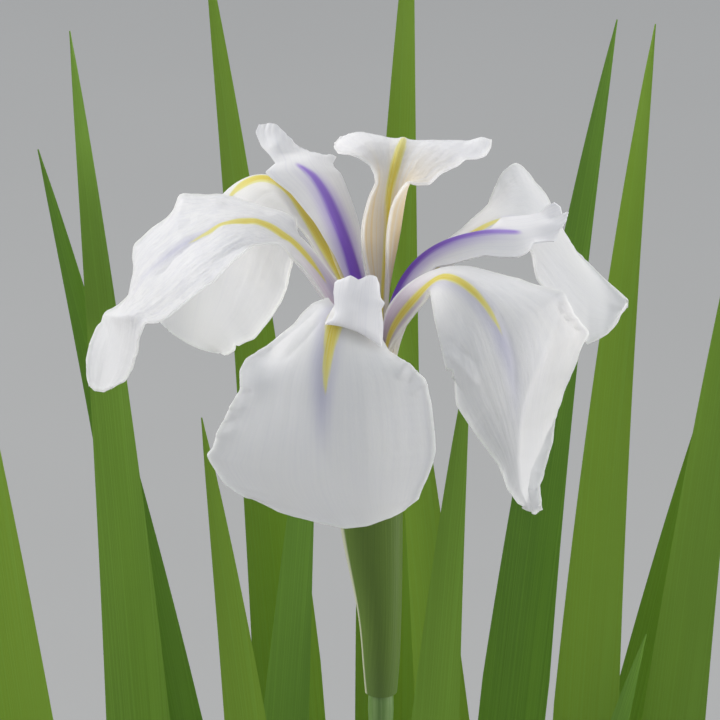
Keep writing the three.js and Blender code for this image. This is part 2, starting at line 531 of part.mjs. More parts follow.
add("soil", turned([
  [0, POT_WALL + GAP],
  [innerRadius(POT_WALL + 6) - 6 - GAP, POT_WALL + GAP],
  [innerRadius(POT_WALL + 6) - GAP, POT_WALL + 6 + GAP],
  [innerRadius(SOIL_TOP - 2) - GAP, SOIL_TOP - 2],
  [innerRadius(SOIL_TOP) - 3, SOIL_TOP],
  [0, SOIL_TOP],
]), "soil");

export default part;
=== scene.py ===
# %% [markdown]
# A white rabbit-ear iris in a clay pot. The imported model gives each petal, leaf and vessel its place and
# size as a plain solid. This lesson gives each of them its living surface: thin veined petals, keeled
# style arms, flat sword leaves, wet soil and fired clay. We load the model first and keep its box.

# %% Load the frame
import math

import bmesh
import bpy
import numpy as np
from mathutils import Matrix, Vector, noise


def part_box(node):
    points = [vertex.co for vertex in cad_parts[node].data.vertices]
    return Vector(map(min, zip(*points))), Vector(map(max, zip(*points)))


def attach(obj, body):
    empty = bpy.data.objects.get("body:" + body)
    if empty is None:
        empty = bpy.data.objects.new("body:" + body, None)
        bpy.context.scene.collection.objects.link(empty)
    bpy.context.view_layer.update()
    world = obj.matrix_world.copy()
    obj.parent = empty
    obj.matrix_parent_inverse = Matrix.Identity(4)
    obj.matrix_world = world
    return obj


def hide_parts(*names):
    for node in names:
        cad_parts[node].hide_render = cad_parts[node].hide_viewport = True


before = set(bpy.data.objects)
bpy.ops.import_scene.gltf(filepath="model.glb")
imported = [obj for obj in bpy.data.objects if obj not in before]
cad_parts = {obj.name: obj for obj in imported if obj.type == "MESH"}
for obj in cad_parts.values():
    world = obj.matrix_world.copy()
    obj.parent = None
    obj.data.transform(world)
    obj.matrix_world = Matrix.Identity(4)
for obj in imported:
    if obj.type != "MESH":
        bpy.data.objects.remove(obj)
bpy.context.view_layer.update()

MM = 0.001

# %% [markdown]
# Three small habits make script modelling safe. Everything is deselected before a primitive is added,
# because an operator acts on all that is selected. A modifier is applied as soon as it has done its work,
# so the next step sees a plain mesh. A finished piece is shaded and told which body it rides on and which
# plain solid it stands for.

# %% Working habits
PIECES = {}


def begin():
    if bpy.context.object and bpy.context.object.mode != "OBJECT":
        bpy.ops.object.mode_set(mode="OBJECT")
    bpy.ops.object.select_all(action="DESELECT")


def added(name):
    piece = bpy.context.active_object
    piece.name = piece.data.name = name
    return piece


def apply_modifier(piece, kind, **settings):
    modifier = piece.modifiers.new(kind.lower(), kind)
    for setting, value in settings.items():
        setattr(modifier, setting, value)
    bpy.context.view_layer.objects.active = piece
    bpy.ops.object.modifier_apply(modifier=modifier.name)


def hand_in(piece, node, smooth_below=50):
    """Edges that turn by less than smooth_below degrees are shaded smooth."""
    begin()
    piece.select_set(True)
    bpy.context.view_layer.objects.active = piece
    bpy.ops.object.shade_smooth_by_angle(angle=math.radians(smooth_below))
    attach(piece, "root")
    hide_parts(node)
    PIECES[node] = piece


# %% [markdown]
# Every shape below starts from measured spots. They are kept as plain tables, so that they can be read and
# changed like a cutting list: the measures of a spot stand side by side, and a comma parts the spots.

# %% Tables
def spots(text):
    return [[float(measure) for measure in spot.split()] for spot in text.split(",")]


def tables(text):
    """A name alone starts a table; each line is a row of spots, and goes on if it ends in a comma."""
    named = {}
    for line in text.replace(",\n", ", ").strip().splitlines():
        if line[0].isalpha():
            rows = named[line] = []
        else:
            rows.append(spots(line))
    return named


# %% [markdown]
# The flower is described as a viewer sees it who stands in front and looks down on it a little: a point is
# so many millimetres to the right, up the view and towards the viewer, counted from the heart of the
# flower. The solids use the same words, so petals made here lie where their solids lie.

# %% The viewer's measures
VIEW_TILT = math.radians(24)
RISE, LEVEL = math.sin(VIEW_TILT), math.cos(VIEW_TILT)
HEART = Vector((1.5, 0, 560))
VIEW_AXES = np.array([Vector((1, 0, 0)), Vector((0, RISE, LEVEL)), Vector((0, -LEVEL, RISE))])


def seen(right, up, near):
    return HEART + Vector((right, up * RISE - near * LEVEL, up * LEVEL + near * RISE))


def in_view(points):
    """Right and up in the view, in mm, of points in the model's own axes."""
    return ((points - np.array(HEART)) @ VIEW_AXES.T)[..., :2]


# %% [markdown]
# A petal starts as a coarse cage: a grid primitive of five vertices across and one row for each step from
# foot to tip, as one would pull a plane into shape by hand. Subdivision makes the smooth sheet from it.
# Five columns are enough, because a petal is a simple dish with a midrib, and few points keep the curves
# clean. A row names the left margin, the midrib and the right margin as seen from outside the flower; the
# two columns between are set halfway, lifted by the belly of the petal.

# %% Cages
SHEET_LEVELS = 4
SPANS = 2 ** SHEET_LEVELS


def cage_points(rows, belly):
    middles = [seen(*row[len(row) // 2]) for row in rows]
    cage = []
    for i, row in enumerate(rows):
        cage.append([seen(*spot) for spot in row])
        if len(row) == 3:
            left, middle, right = cage[-1]
            ahead = middles[min(i + 1, len(rows) - 1)] - middles[max(i - 1, 0)]
            upper = ahead.cross(right - left).normalized()
            near_left = (left + middle) / 2 + upper * belly * (left - middle).length
            near_right = (right + middle) / 2 + upper * belly * (right - middle).length
            cage[-1] = [left, near_left, middle, near_right, right]
    return cage


def grid_primitive(name, rows, columns):
    begin()
    bpy.ops.mesh.primitive_grid_add(x_subdivisions=columns - 1, y_subdivisions=rows - 1, size=2)
    return added(name)


def pulled_grid(name, cage):
    """Grid primitive whose vertices are pulled one by one to the places in the cage, in mm."""
    rows, columns = len(cage), len(cage[0])
    piece = grid_primitive(name, rows, columns)
    bpy.ops.object.mode_set(mode="EDIT")
    bpy.ops.mesh.select_mode(type="VERT")
    bpy.ops.mesh.select_all(action="DESELECT")
    for vertex in bmesh.from_edit_mesh(piece.data).verts:
        row = round((vertex.co.y + 1) / 2 * (rows - 1))
        column = round((vertex.co.x + 1) / 2 * (columns - 1))
        vertex.select = True
        bpy.ops.transform.translate(value=cage[row][column] * MM - vertex.co)
        vertex.select = False
    bpy.ops.mesh.select_all(action="SELECT")
    bpy.ops.mesh.flip_normals()
    bpy.ops.object.mode_set(mode="OBJECT")
    return piece


# %% Points of a sheet
RULERS = ("along", "across", "rib", "edge")


def lattice(piece, rows, columns):
    """Vertex numbers of a subdivided grid, row by row from foot to tip, left to right."""
    mesh = piece.data
    corner = np.zeros(len(mesh.loops), int)
    mesh.loops.foreach_get("vertex_index", corner)
    flat = np.zeros(len(mesh.loops) * 2)
    mesh.uv_layers[0].data.foreach_get("uv", flat)
    place = np.zeros((len(mesh.vertices), 2))
    place[corner] = flat.reshape(-1, 2)
    column, row = np.rint(place * (columns - 1, rows - 1)).astype(int).T
    order = np.zeros((rows, columns), int)
    order[row, column] = np.arange(len(mesh.vertices))
    return order


def points_of(piece):
    flat = np.zeros(len(piece.data.vertices) * 3)
    piece.data.vertices.foreach_get("co", flat)
    return flat.reshape(-1, 3) / MM


def move_points(piece, points):
    piece.data.vertices.foreach_set("co", (points * MM).ravel())
    piece.data.update()


def note_on(piece, name, values):
    attribute = piece.data.attributes.new(name, "FLOAT", "POINT")
    attribute.data.foreach_set("value", values.astype(np.float32))


def by_vertex(order, values):
    """Values of a sheet, given row by row, in the order of its vertices."""
    listed = np.empty((order.size, *values.shape[2:]))
    listed[order] = values
    return listed


def lay_out(piece, order, points):
    """Puts the points of a sheet in place and notes its rulers on them."""
    move_points(piece, by_vertex(order, points))
    for name, values in zip(RULERS, rulers(points)):
        note_on(piece, name, by_vertex(order, values))


# %% [markdown]
# Real petals are never as smooth as a subdivided cage. Their margins ruffle, the blade is pleated from the
# claw outwards, and tissue between the veins is finely wrinkled. These are too fine to pull by hand, so they
# are worked into the smooth sheet as gentle waves along its own directions. Rulers are noted on each point
# for the finishes: how far it is along and across the petal, how many mm from the midrib, and how many from
# the nearest margin.

# %% Fine shaping of a sheet
RIM_ROLL = 0.5
ROLL_WIDTH = 0.9
LONG_RUFFLE, SHORT_RUFFLE = 11, 4  # mm
LONG_PLEATS, SHORT_PLEATS = 4.5, 13  # on each half of a petal
BLADE_FROM = (0.3, 0.55)
RIM_FROM = (0.35, 0.5)
FLAT_FROM = (0.65, 0.85)
MIDRIB = (0.02, 0.3)


def normals_of(points):
    normal = np.cross(np.gradient(points, axis=0), np.gradient(points, axis=1))
    return normal / np.maximum(np.linalg.norm(normal, axis=2, keepdims=True), 1e-9)


def lifted(points, lift):
    return points + normals_of(points) * lift[..., None]


def running_length(points, axis):
    steps = np.linalg.norm(np.diff(points, axis=axis), axis=2)
    start = np.zeros_like(np.take(steps, [0], axis=axis))
    return np.concatenate([start, np.cumsum(steps, axis=axis)], axis=axis)


def wander(values, seed):
    """Smooth wandering between about -1 and 1 along a list of values."""
    return np.array([noise.fractal((value, seed * 7.31, 0.5), 0.5, 2.0, 3) for value in values])


def waves(long, short, seed, share=0.4):
    """Long waves with a share of short ones on them."""
    return wander(long, seed) + share * wander(short, seed + 1)


def ramp_up(values, start, end):
    share = np.clip((values - start) / (end - start), 0, 1)
    return share * share * (3 - 2 * share)


def rulers(points):
    """Share along, share across from -1 to 1, mm from the midrib and mm from the nearest margin."""
    rows, columns = points.shape[:2]
    along = np.repeat(np.linspace(0, 1, rows)[:, None], columns, axis=1)
    across = np.repeat(np.linspace(-1, 1, columns)[None, :], rows, axis=0)
    sideways = running_length(points, 1)
    rib = sideways - sideways[:, columns // 2][:, None]
    lengthways = running_length(points, 0)
    edge = np.minimum(sideways, sideways[:, -1:] - sideways)
    edge = np.minimum(edge, lengthways[-1:] - lengthways)
    return along, across, rib, edge


def rimmed(points):
    """Rolls the last millimetre of the blade up by half a millimetre."""
    along, _, _, edge = rulers(points)
    return lifted(points, RIM_ROLL * np.exp(-edge / ROLL_WIDTH) * ramp_up(along, *RIM_FROM))


def ruffled(points, seed, ruffle, pleat):
    """Petal with softly ruffled margins, pleats that fan out from the claw, and a rolled rim."""
    along, across = rulers(points)[:2]
    margin = running_length(points, 0)
    left, right = (waves(margin[:, side] / LONG_RUFFLE, margin[:, side] / SHORT_RUFFLE, seed + start)
                   for side, start in ((0, 0), (-1, 2)))
    blade = ramp_up(along, *BLADE_FROM)
    lift = ruffle * np.where(across < 0, left[:, None], right[:, None]) * np.abs(across) ** 3 * blade
    pleats = waves(across[0] * LONG_PLEATS, across[0] * SHORT_PLEATS, seed + 4, 0.35)
    shallow = 1 - 0.85 * ramp_up(along, *FLAT_FROM)
    lift = lift + pleat * pleats[None, :] * blade * shallow * ramp_up(np.abs(across), *MIDRIB)
    return rimmed(lifted(points, lift))


# %% [markdown]
# The outline of a petal is what one recognises first, with its corners, small points and notches. It is
# drawn as the viewer sees it, margin by margin, and the edge of the sheet is drawn out to it. The pull
# fades towards the midrib, as with proportional editing, so the dish of the petal is kept. Folds and
# creases are laid into the sheet along lines drawn in the same way.

# %% Fitting a sheet to its outline
OUTLINE_FADE = 10
OUTLINE_FROM = {"style_front": 0.55}
TIP_FROM = 0.8


def shares_of(line):
    steps = np.concatenate([[0], np.cumsum(np.linalg.norm(np.diff(line, axis=0), axis=1))])
    return steps / steps[-1]


def pull_to(outline, margin, since=0):
    """Moves, right and up in the view, that lay a stretch of the margin evenly along an outline."""
    line = np.array(outline)
    first = since + int(np.argmin(np.linalg.norm(margin[since:] - line[0], axis=1)))
    last = int(np.argmin(np.linalg.norm(margin - line[-1], axis=1)))
    stretch = margin[first:last + 1]
    share = shares_of(stretch)
    wanted = np.stack([np.interp(share, shares_of(line), line[:, axis]) for axis in (0, 1)], axis=1)
    pull = np.zeros_like(margin)
    pull[first:last + 1] = wanted - stretch
    for step in range(1, OUTLINE_FADE):
        fade = 1 - step / OUTLINE_FADE
        if first - step >= 0:
            pull[first - step] = pull[first] * fade
        if last + step < len(margin):
            pull[last + step] = pull[last] * fade
    padded = np.pad(pull, ((1, 1), (0, 0)), mode="edge")
    return (padded[:-2] + 2 * padded[1:-1] + padded[2:]) / 4


def outlined(points, node, outlines):
    """Draws the margins and the tip of a sheet out to the outlines of a node, where it has them."""
    left, right, tip = (outlines.get(f"{node} {part}", [None])[0] for part in ("left", "right", "tip"))
    rows, columns = points.shape[:2]
    since = round(OUTLINE_FROM.get(node, 0) * (rows - 1))
    view = in_view(points)
    across = np.linspace(-1, 1, columns)
    to_tip = ramp_up(np.linspace(0, 1, rows), TIP_FROM, 1)[:, None]
    move_tip = rest = pull_to(tip, view[-1]) if tip else np.zeros((columns, 2))
    moves = 0
    for outline, side, towards in ((left, 0, -across), (right, -1, across)):
        to_side = np.clip(towards, 0, 1)[:, None] ** 2
        move = pull_to(outline, view[:, side], since) if outline else move_tip[side] * to_tip
        moves = moves + move[:, None] * to_side[None]
        rest = rest - move[-1] * to_side
    if tip:
        moves = moves + rest[None] * to_tip[..., None]
    return points + moves[..., :1] * VIEW_AXES[0] + moves[..., 1:] * VIEW_AXES[1]


# %% Folds, creases and tugs
def beside(points, line):
    """Distance from a line in the view, its side, and 1 beside its middle, fading to 0 at its ends."""
    line = np.array(line)
    view = in_view(points)
    gap = np.full(view.shape[:2], np.inf)
    side, running = np.zeros_like(gap), np.zeros_like(gap)
    for number, (first, second) in enumerate(zip(line[:-1], line[1:])):
        step = second - first
        share = np.clip(((view - first) @ step) / (step @ step), 0, 1)
        offset = view - first - share[..., None] * step
        away = np.linalg.norm(offset, axis=2)
        nearer = away < gap
        running = np.where(nearer, (number + share) / (len(line) - 1), running)
        side = np.where(nearer, np.sign(offset[..., 1] * step[0] - offset[..., 0] * step[1]), side)
        gap = np.minimum(gap, away)
    return gap, side, ramp_up(running, 0, 0.2) * (1 - ramp_up(running, 0.8, 1))


def folded(points, folds):
    """Folds [slope], line: right of the downward line, as the viewer sees it, the sheet turns away."""
    for (slope,), *line in folds:
        gap, side, middle = beside(points, line)
        points = points - (slope * gap * (side > 0) * middle)[..., None] * VIEW_AXES[2]
    return points


def creased(points, creases):
    """Sharp creases [lift, fade], line: the sheet is lifted on the line, less and less as far as it fades."""
    for (lift, fade), *line in creases:
        gap, _, middle = beside(points, line)
        points = lifted(points, lift * np.exp(-gap / fade) * middle)
    return points


def tugged(points, tugs):
    """Tugs [share along, share across], [right, up, near], [spread]: pulls that fade over spread mm."""
    for (along, across), pull, (spread,) in tugs:
        rows, columns = points.shape[:2]
        held = points[round(along * (rows - 1)), round((across + 1) / 2 * (columns - 1))]
        gap = np.linalg.norm(points - held, axis=2)
        points = points + np.exp(-(gap / spread) ** 2)[..., None] * (np.array(pull) @ VIEW_AXES)
    return points


# %% [markdown]
# A sheet becomes a petal when it gets its thickness. Living petals of this iris are about half a
# millimetre thick and a little more along the claw. Solidify gives both skins at once and can put the
# lower skin into a second finish, which is how the greener underside is told from the white upper face.

# %% Skins
CLAW_SHARE = 0.35


def skinned(piece, foot_skin, share):
    """Gives a sheet its two skins; share is how much of the foot's thickness each point gets."""
    group = piece.vertex_groups.new(name="thickness")
    for number, weight in enumerate(share):
        group.add([number], float(weight), "REPLACE")
    apply_modifier(piece, "SOLIDIFY", thickness=foot_skin * MM, offset=0, use_even_offset=False,
                   vertex_group="thickness", thickness_vertex_group=0.0,
                   material_offset=1, material_offset_rim=0)
    piece.vertex_groups.clear()


def petal_piece(name, node, rows, belly, shaping, foot_skin, blade_skin):
    """Petal or style arm: a cage is pulled, smoothed, shaped and given the skin of its foot and blade."""
    piece = pulled_grid(name, cage_points(rows, belly))
    apply_modifier(piece, "SUBSURF", levels=SHEET_LEVELS, render_levels=SHEET_LEVELS,
                   boundary_smooth="PRESERVE_CORNERS", uv_smooth="NONE")
    order = lattice(piece, (len(rows) - 1) * SPANS + 1, 4 * SPANS + 1)
    points = shaping(points_of(piece)[order], node)
    lay_out(piece, order, points)
    thin = blade_skin / foot_skin
    share = np.clip(thin + (1 - thin) * (1 - rulers(points)[0] / CLAW_SHARE), thin, 1)
    skinned(piece, foot_skin, by_vertex(order, share))
    return piece


# %% [markdown]
# The six petals. In this form all six spread and hang alike: three falls under the style arms and three
# standards between them, as broad as the falls. The rows follow the flower in the photograph: the front
# fall hangs flat towards the viewer, the left standard curls over at its tip, the right one ends in a
# long point, and the back one stands up on a rolled claw before its blade turns away. Spots of a row are
# right, up and near; spots of a line in the view are right and up.

# %% Petal rows
PETALS = tables("""
fall_front
-3.5 -6.3 -0.6, -2.5 -6.5 -0.2, -1.5 -6.6 0.1
-6.2 -0.4 6.6, -4.1 -1.2 7.4, -2.2 -1.6 7.8
-10.4 4.8 17.6, -7.4 3.4 19, -4 2.2 19.2
-14 9.2 29, -9.6 6.8 31.4, -3.4 4.4 30
-19 9.6 35, -12 7.6 38.6, -2 2.6 36
-25.6 3.6 37.5, -13 2.6 42.8, 0.6 -2.2 39.6
-30.6 -0.8 39, -14.2 -4 44.6, 5.4 -5 41.2
-34 -6 40.4, -14.8 -11 44.4, 8.6 -9.6 41
-35.2 -12.6 39.6, -15 -19 42.6, 10.4 -17.6 39.4
-39.8 -20.4 37, -14.6 -26.6 39.6, 11 -25.4 36.6
-42.6 -27.6 33.6, -13.4 -33.4 36.2, 9.4 -32.6 33.6
-34.6 -33.8 31.4, -12 -38.8 32.6, 4.2 -37.8 31.6
-23 -38.6 30.4, -10.6 -42 30, -1 -39.9 30.4
fall_right
1.2 -5.8 -1.8, 1.1 -5.3 -2.8, 0.9 -4.9 -3.7
1.9 -0.4 0.8, 1.6 0.6 -0.8, 1.2 1.4 -2.2
5.6 8.6 0.6, 4.6 9.8 -1.6, 3.6 11 -4
11.6 16 1.4, 10.4 17.4 -1.6, 9 19 -5
18 21 2.6, 16.4 23.4 -1.4, 14.4 25.8 -5.8
23.4 23.4 6, 21.8 27.4 0, 18.6 28.8 -6
28.2 23 9.2, 26.8 29.4 1, 23.2 33.2 -9
32.2 20.4 10.6, 31.4 28.9 1.2, 26.2 40 -14
33.4 14.6 10, 35.4 26.2 0.4, 30.4 44.8 -17.4
35.4 8 8, 39.8 21.8 -1, 35.4 39.6 -17
39.4 2.2 5, 44.2 16.8 -2.6, 40.4 30.6 -14.6
45.6 0 1.4, 48.4 12.4 -4.6, 45.2 21.6 -11.4
52 2 -2.6, 52.4 8.4 -6.4, 51.2 15.6 -9.2
55.4 6.8 -6, 56 8.8 -7.4, 56 10.6 -8
fall_left
-2.3 -4.4 -4.9, -3.1 -4.7 -4.3, -3.9 -4.9 -3.7
-4 4.8 -5.6, -5.6 4 -4.6, -7 3 -2.8
-7.6 14.2 -8.4, -9.4 13 -7, -11.2 11.8 -5
-12.2 23.6 -10.4, -14.4 22 -8.6, -16 20.2 -6.4
-15.6 31.4 -13, -17.4 30.6 -11.6, -18.8 29.6 -10.4, -19.8 28.6 -9, -20 27.4 -7
-20 37.4 -18, -22 37.4 -15, -23.2 36.4 -12.4, -23.4 34 -9, -22.4 31 -8
-27 39.4 -28, -28 41 -21, -28.4 40.6 -14.8, -27 36 -9.6, -21.8 26.4 -12
-35.4 36 -34, -35 39.4 -27, -33.8 40 -20.4, -30 33.6 -13.6, -21.6 20.4 -16
-42.6 29.6 -39, -41 34.6 -32.6, -38.4 36.6 -26.4, -33 27.6 -18.6, -22.6 14.2 -20
-48.4 23.4 -43, -42.2 30.4 -31, -24.6 8.6 -24
-52.4 17 -45, -45 21.6 -35, -27.6 3.4 -28
-54.6 10.6 -46, -46.4 12.4 -38, -32 -1.6 -32
-55 5 -46, -47.4 5 -41, -37.8 -3.4 -36
-52 1.4 -45, -47.6 -0.6 -43, -42.4 -2.6 -39.6
standard_left
-4.2 -5.2 -3.1, -4.1 -5.6 -2.1, -3.9 -6.1 -1.2
-6.8 3.4 0.2, -8.2 1.8 2.2, -9 0.4 4
-11.6 13.4 4.8, -13 12.2 7.6, -14.2 9.4 10
-16.4 20.2 9.6, -18 19.4 11.8, -19 16.8 14.6
-21.2 25.4 10, -23 25 14.8, -23.8 21.6 17.4
-26 31.6 3, -29.4 28.6 17.2, -29.4 23.6 23
-33 34.2 -3, -36 29 18.4, -33.8 22.2 30
-41.4 34.2 -6, -43 26.6 18.6, -38.4 16.4 33.6
-50 36 -7, -49.4 21.8 17.4, -43.4 11 33.4
-58.4 26.4 -5, -55 17 15.4, -49.2 7 30
-59.4 19 -1, -59 11 13, -55 5.4 25.4
-56.8 12.6 4, -62 6 11, -56.2 2.6 22
-66.6 7 5, -64.4 1 9.6, -57.4 -2 17.6
-70.2 -1.8 4.6, -66.6 -5 7.6, -60.6 -7.6 13.4
-69.4 -10 4.4, -67.6 -11.4 6.4, -64.6 -11 9.6
standard_right
-0.7 -6.6 0, 0.1 -6.3 -0.6, 0.9 -6.1 -1.2
0.6 -0.4 7, -0.1 1 6, -1.6 3.4 4.4
4.4 5 15, 3 6.6 13.8, 0.2 9.6 11
9.4 11 23, 7.2 11.4 21.4, 4.8 14.4 17
10.4 11.8 29.6, 11.6 16 28.2, 11.8 17.8 20
11 4.6 32.6, 15.2 16 32, 17.6 18.2 20.6
11.4 -1 33, 19.6 13 33.6, 25 16.2 20
13.6 -6.4 32, 18.2 1.4 34.6, 23.2 8 33.6, 28.4 12 29.6, 32.6 14.6 22
14.8 -12.4 30.4, 20 -4.8 33, 26 1.4 32.2, 34.6 7 29.4, 41.6 12.6 23.4
17.6 -18.4 27.6, 22.8 -12.2 30.4, 28.4 -6.6 30.4, 37 -0.6 27.4, 47.8 4.2 14
22.4 -23.4 24.2, 26 -19 27, 29.4 -15 27.6, 34 -10.4 25, 44 -6.4 13.6
26.8 -29 20.4, 28.2 -26 22.8, 29.8 -23 23.6, 33.4 -20.6 19.8, 40.4 -15.6 13.4
29 -34.4 17, 29.8 -32.4 18.8, 31 -30.4 19.4, 33.6 -28.8 16, 37.6 -26 13.8
32.4 -38.4 14, 32.6 -37.4 14.8, 33.2 -36.2 15.2, 34 -35.2 14.2, 34.4 -34 13.6
33.2 -38.7 13, 34.1 -38.7 13.4, 34.8 -38 12.6
standard_back
0.5 -4.7 -4.3, 0 -4.6 -4.5, -0.5 -4.5 -4.6, -1 -4.4 -4.8, -1.5 -4.3 -5
-0.5 8.4 -2.8, -0.8 8.6 -3.5, -1.5 8.6 -4, -2.2 8.6 -4, -2.8 8.6 -3.6
-0.3 17.4 4, 1.4 17.6 1.5, -0.7 18 -0.2, -3.4 18 0.2, -5.2 18 2
-0.6 26.6 12.2, 4.3 26 8.8, -0.2 27 5.2, -3.8 27 5.6, -6.7 26.5 8.2
1.6 35.2 13.8, 5.4 34.4 11.4, -0.2 34.8 8, -3.2 34.8 8.8, -4.2 34.8 10
5.6 37.2 14.6, 5.8 38.6 12, 0.9 39.4 9.6, -1.8 39 10.4, -2.8 39 11.2
12 38.4 14.8, 8.4 42.6 12.4, 2.2 44 9.4, -3 43.4 10.8, -6.4 42.2 12
19 42.4 13, 12.8 46.4 9.6, 3.6 48 6, -5 48 9, -11.8 43.6 10.6
25 44.4 8, 16.4 49 3, 4.2 47.8 -1, -9.6 51.6 3.6, -15.4 46.4 6
22.4 47.4 -3, 16 49 -7.6, 5.4 47 -10, -8 50.4 -7, -13.6 48.6 -3
21 45.4 -15, 14.6 46.4 -19.4, 6.4 46 -21.6, -2.6 46.6 -20.8, -9.6 47 -18
19 44.4 -26, 13.4 45.4 -29.8, 7 45 -31.6, 0 45.6 -31, -5 46 -27.6
13 44 -35, 10.6 44.4 -37.4, 7.6 44.2 -38.4, 4 44.6 -37.6, 1.4 45 -35.6
""")
BELLY = 0.04
BACK_BELLY = -0.04
print("petals:", list(PETALS))

# %% Petal outlines
PETAL_OUTLINES = tables("""
fall_front left
-14 10.6, -17.4 9.2, -19.8 7, -21.6 4.6, -27.8 -0.4, -32.4 -3.6, -33.5 -6, -33.4 -9.8, -35.7 -13.8,
-38.7 -19.6, -39.9 -23.5, -41.2 -24.7, -40.4 -26.4, -37 -31.2, -34.1 -33.4, -24.4 -37.8
fall_front right
-2 2, 0 -1.7, 3.7 -4.3, 5.5 -5.3, 8.3 -8, 8.9 -10.5, 9.6 -13.4, 10.4 -20.7, 10.6 -24, 9.9 -26.9, 8.7 -30.2,
4.8 -35.8, 0 -39.1
fall_front tip
-24.4 -37.8, -21 -38.9, -14.7 -40.6, -9.8 -41.6, -4.9 -41, 0 -39.1, 3 -37.4
fall_right right
14.5 25, 18 28, 23.5 32.8, 25 36, 27 40.3, 29 42, 30 42.5, 31.3 42, 35 37.5, 36.8 35, 38 32.4, 40 28,
43.5 22, 48 17.5, 56 10.4
fall_right left
32.2 22, 33.1 20.4, 33.7 15, 46 0, 48.5 1, 51 2.5, 53 4.5, 54.5 7, 56 9.8
fall_left right
-21.2 27.9, -21.9 20.9, -23.3 14.7, -24.9 10.2, -27.8 5.6, -31.5 1.5, -36 0, -37 0.5, -37.7 -0.8,
-40.5 -1.5, -44.3 -0.8
fall_left tip
-52.8 4.4, -50.6 2.4, -47.4 0.5, -44.3 -0.8, -40.5 -1.5
standard_left left
-9.6 12, -12.6 15.8, -15.8 19.9, -18.6 23.1, -20.8 25.2, -21.4 27, -21.6 29, -24 30.6, -30.2 32.7,
-37.7 34.5, -42.4 34.3, -48.1 34.6, -49.3 31.2, -51.1 29.2, -54.8 26.6, -58.4 23, -58.8 20.6, -57.6 15,
-57.9 13.2, -61.6 8.6, -67.4 3.8, -69 0, -69.8 -4.2, -69.3 -8.4, -68.3 -10.5
standard_left right
-25 23.6, -30.9 22.9, -32.7 21.6, -39.3 14.7, -44.9 10.5, -49.8 6.3, -52.6 4.9, -55.3 4.7, -56.4 2.1,
-57.6 -1.4, -60.8 -6.3, -63.4 -9.3, -66.2 -10.8
standard_left tip
-69.3 -9.4, -68.3 -10.6, -66.2 -10.9, -63.4 -9.4
standard_right left
9.6 12, 10.4 6, 12 -1, 13.2 -5.6, 14.7 -5.8, 14.8 -8, 15.4 -13.6, 20 -20.6, 25.4 -27.6, 27.4 -33, 31.2 -37,
34.7 -38.7
standard_right right
20 17.6, 29.6 14.7, 37.2 12.2, 39.6 11.6, 40.6 9.4, 42.6 6.4, 45.6 3.2, 44.2 0, 41.4 -8, 38.8 -15, 38 -22,
36 -28.1, 34.1 -32.3, 34.4 -37.4
standard_right tip
31.2 -37, 34 -38.9, 34.9 -38.2
standard_back right
-2.9 37.4, -3.2 39.3, -4.1 41.1, -6.6 42.9, -9 43.8, -11.4 44.1, -12.1 45.2, -12 46.6, -11.2 48.1, -9.4 49
standard_back left
4.5 37.4, 6 36.8, 9.5 36.8, 10.6 38, 12 39.2, 16 41, 17.6 42.4, 20.6 42.5, 22.3 43.2, 23.5 44.6
""")

# %% Petal folds, creases and tugs
PETAL_FOLDS = tables("""
standard_right
1, 54 38, 50 30, 46 21, 40.6 11.9, 38.4 5.3, 35.6 -0.5, 32.4 -8, 31.3 -13.7, 29.6 -19, 29.3 -26, 30.2 -33,
32 -37, 34 -42, 36 -47
-1.9, 45 -1, 43 -6, 41 -11, 38 -18, 35.4 -23.4, 32.6 -29, 32 -33.4, 33 -37.4, 34.6 -42, 36.6 -47
""")
PETAL_CREASES = tables("""
fall_front
-0.5 1.2, -15 9, -22 3, -29 -2.5
-0.4 1.1, -14 7, -19 1, -25 -5
-0.35 1.2, -13.5 4, -14.3 -6, -14.8 -20, -14.6 -30
0.5 0.7, -43 -23, -38.4 -20.6, -34 -19
-0.5 0.7, -41 -18.6, -37 -17.4, -33.6 -16.8
0.5 0.7, -39 -15.4, -35.6 -14.4, -32 -14
-0.4 0.7, -38 -11.6, -34 -11, -30 -10.6
0.5 0.7, 5.4 -1.6, 3.4 -5, 1.6 -8
-0.5 0.7, 8 -3.6, 5.6 -7, 3.8 -10
0.4 0.7, 10.6 -6.6, 7.6 -9.2, 5 -11.6
fall_right
-0.4 1.5, 14 24.6, 20 28.4, 27 36, 31 41
standard_left
-1.6 1.5, -38 28, -45 24.6, -50 20.4, -55 14
1.9 1.8, -66.5 5.4, -61 5.8, -55.6 6.6
-0.8 1.4, -22 24, -28 25, -35 22, -41 18
-0.5 1, -34 17, -42 13.4, -50 8.4
-0.7 1.4, -26 30, -33 32.6, -40 33
-0.7 1.3, -30 28, -38 28.8, -47 25
-0.7 1.2, -44 30, -49 26, -55 22
standard_back
0.9 1.1, 4.4 52, 3.4 47.6, 2.4 44, 0.8 38, -0.4 32, -1 28
standard_right
0.5 1.2, 37 15, 40 8, 35.8 -0.7, 31.6 -9, 29.8 -16, 29.4 -26, 31 -36
-0.6 1.6, 24 9, 27 3, 28.6 -4, 29 -12
0.7 0.9, 13 -1.2, 16.4 -4.8, 20.4 -9.6
-0.4 0.9, 13.6 2, 16.6 -1.4, 21 -5
-0.6 0.8, 11.8 -3.8, 15 -7.8, 17.4 -12
0.9 0.9, 39 13.8, 41.2 9.4, 45.2 3.6, 46.6 1
-1.5 0.8, 38.6 10.4, 40.2 7.2, 42.4 4.6, 45.6 2.4
""")
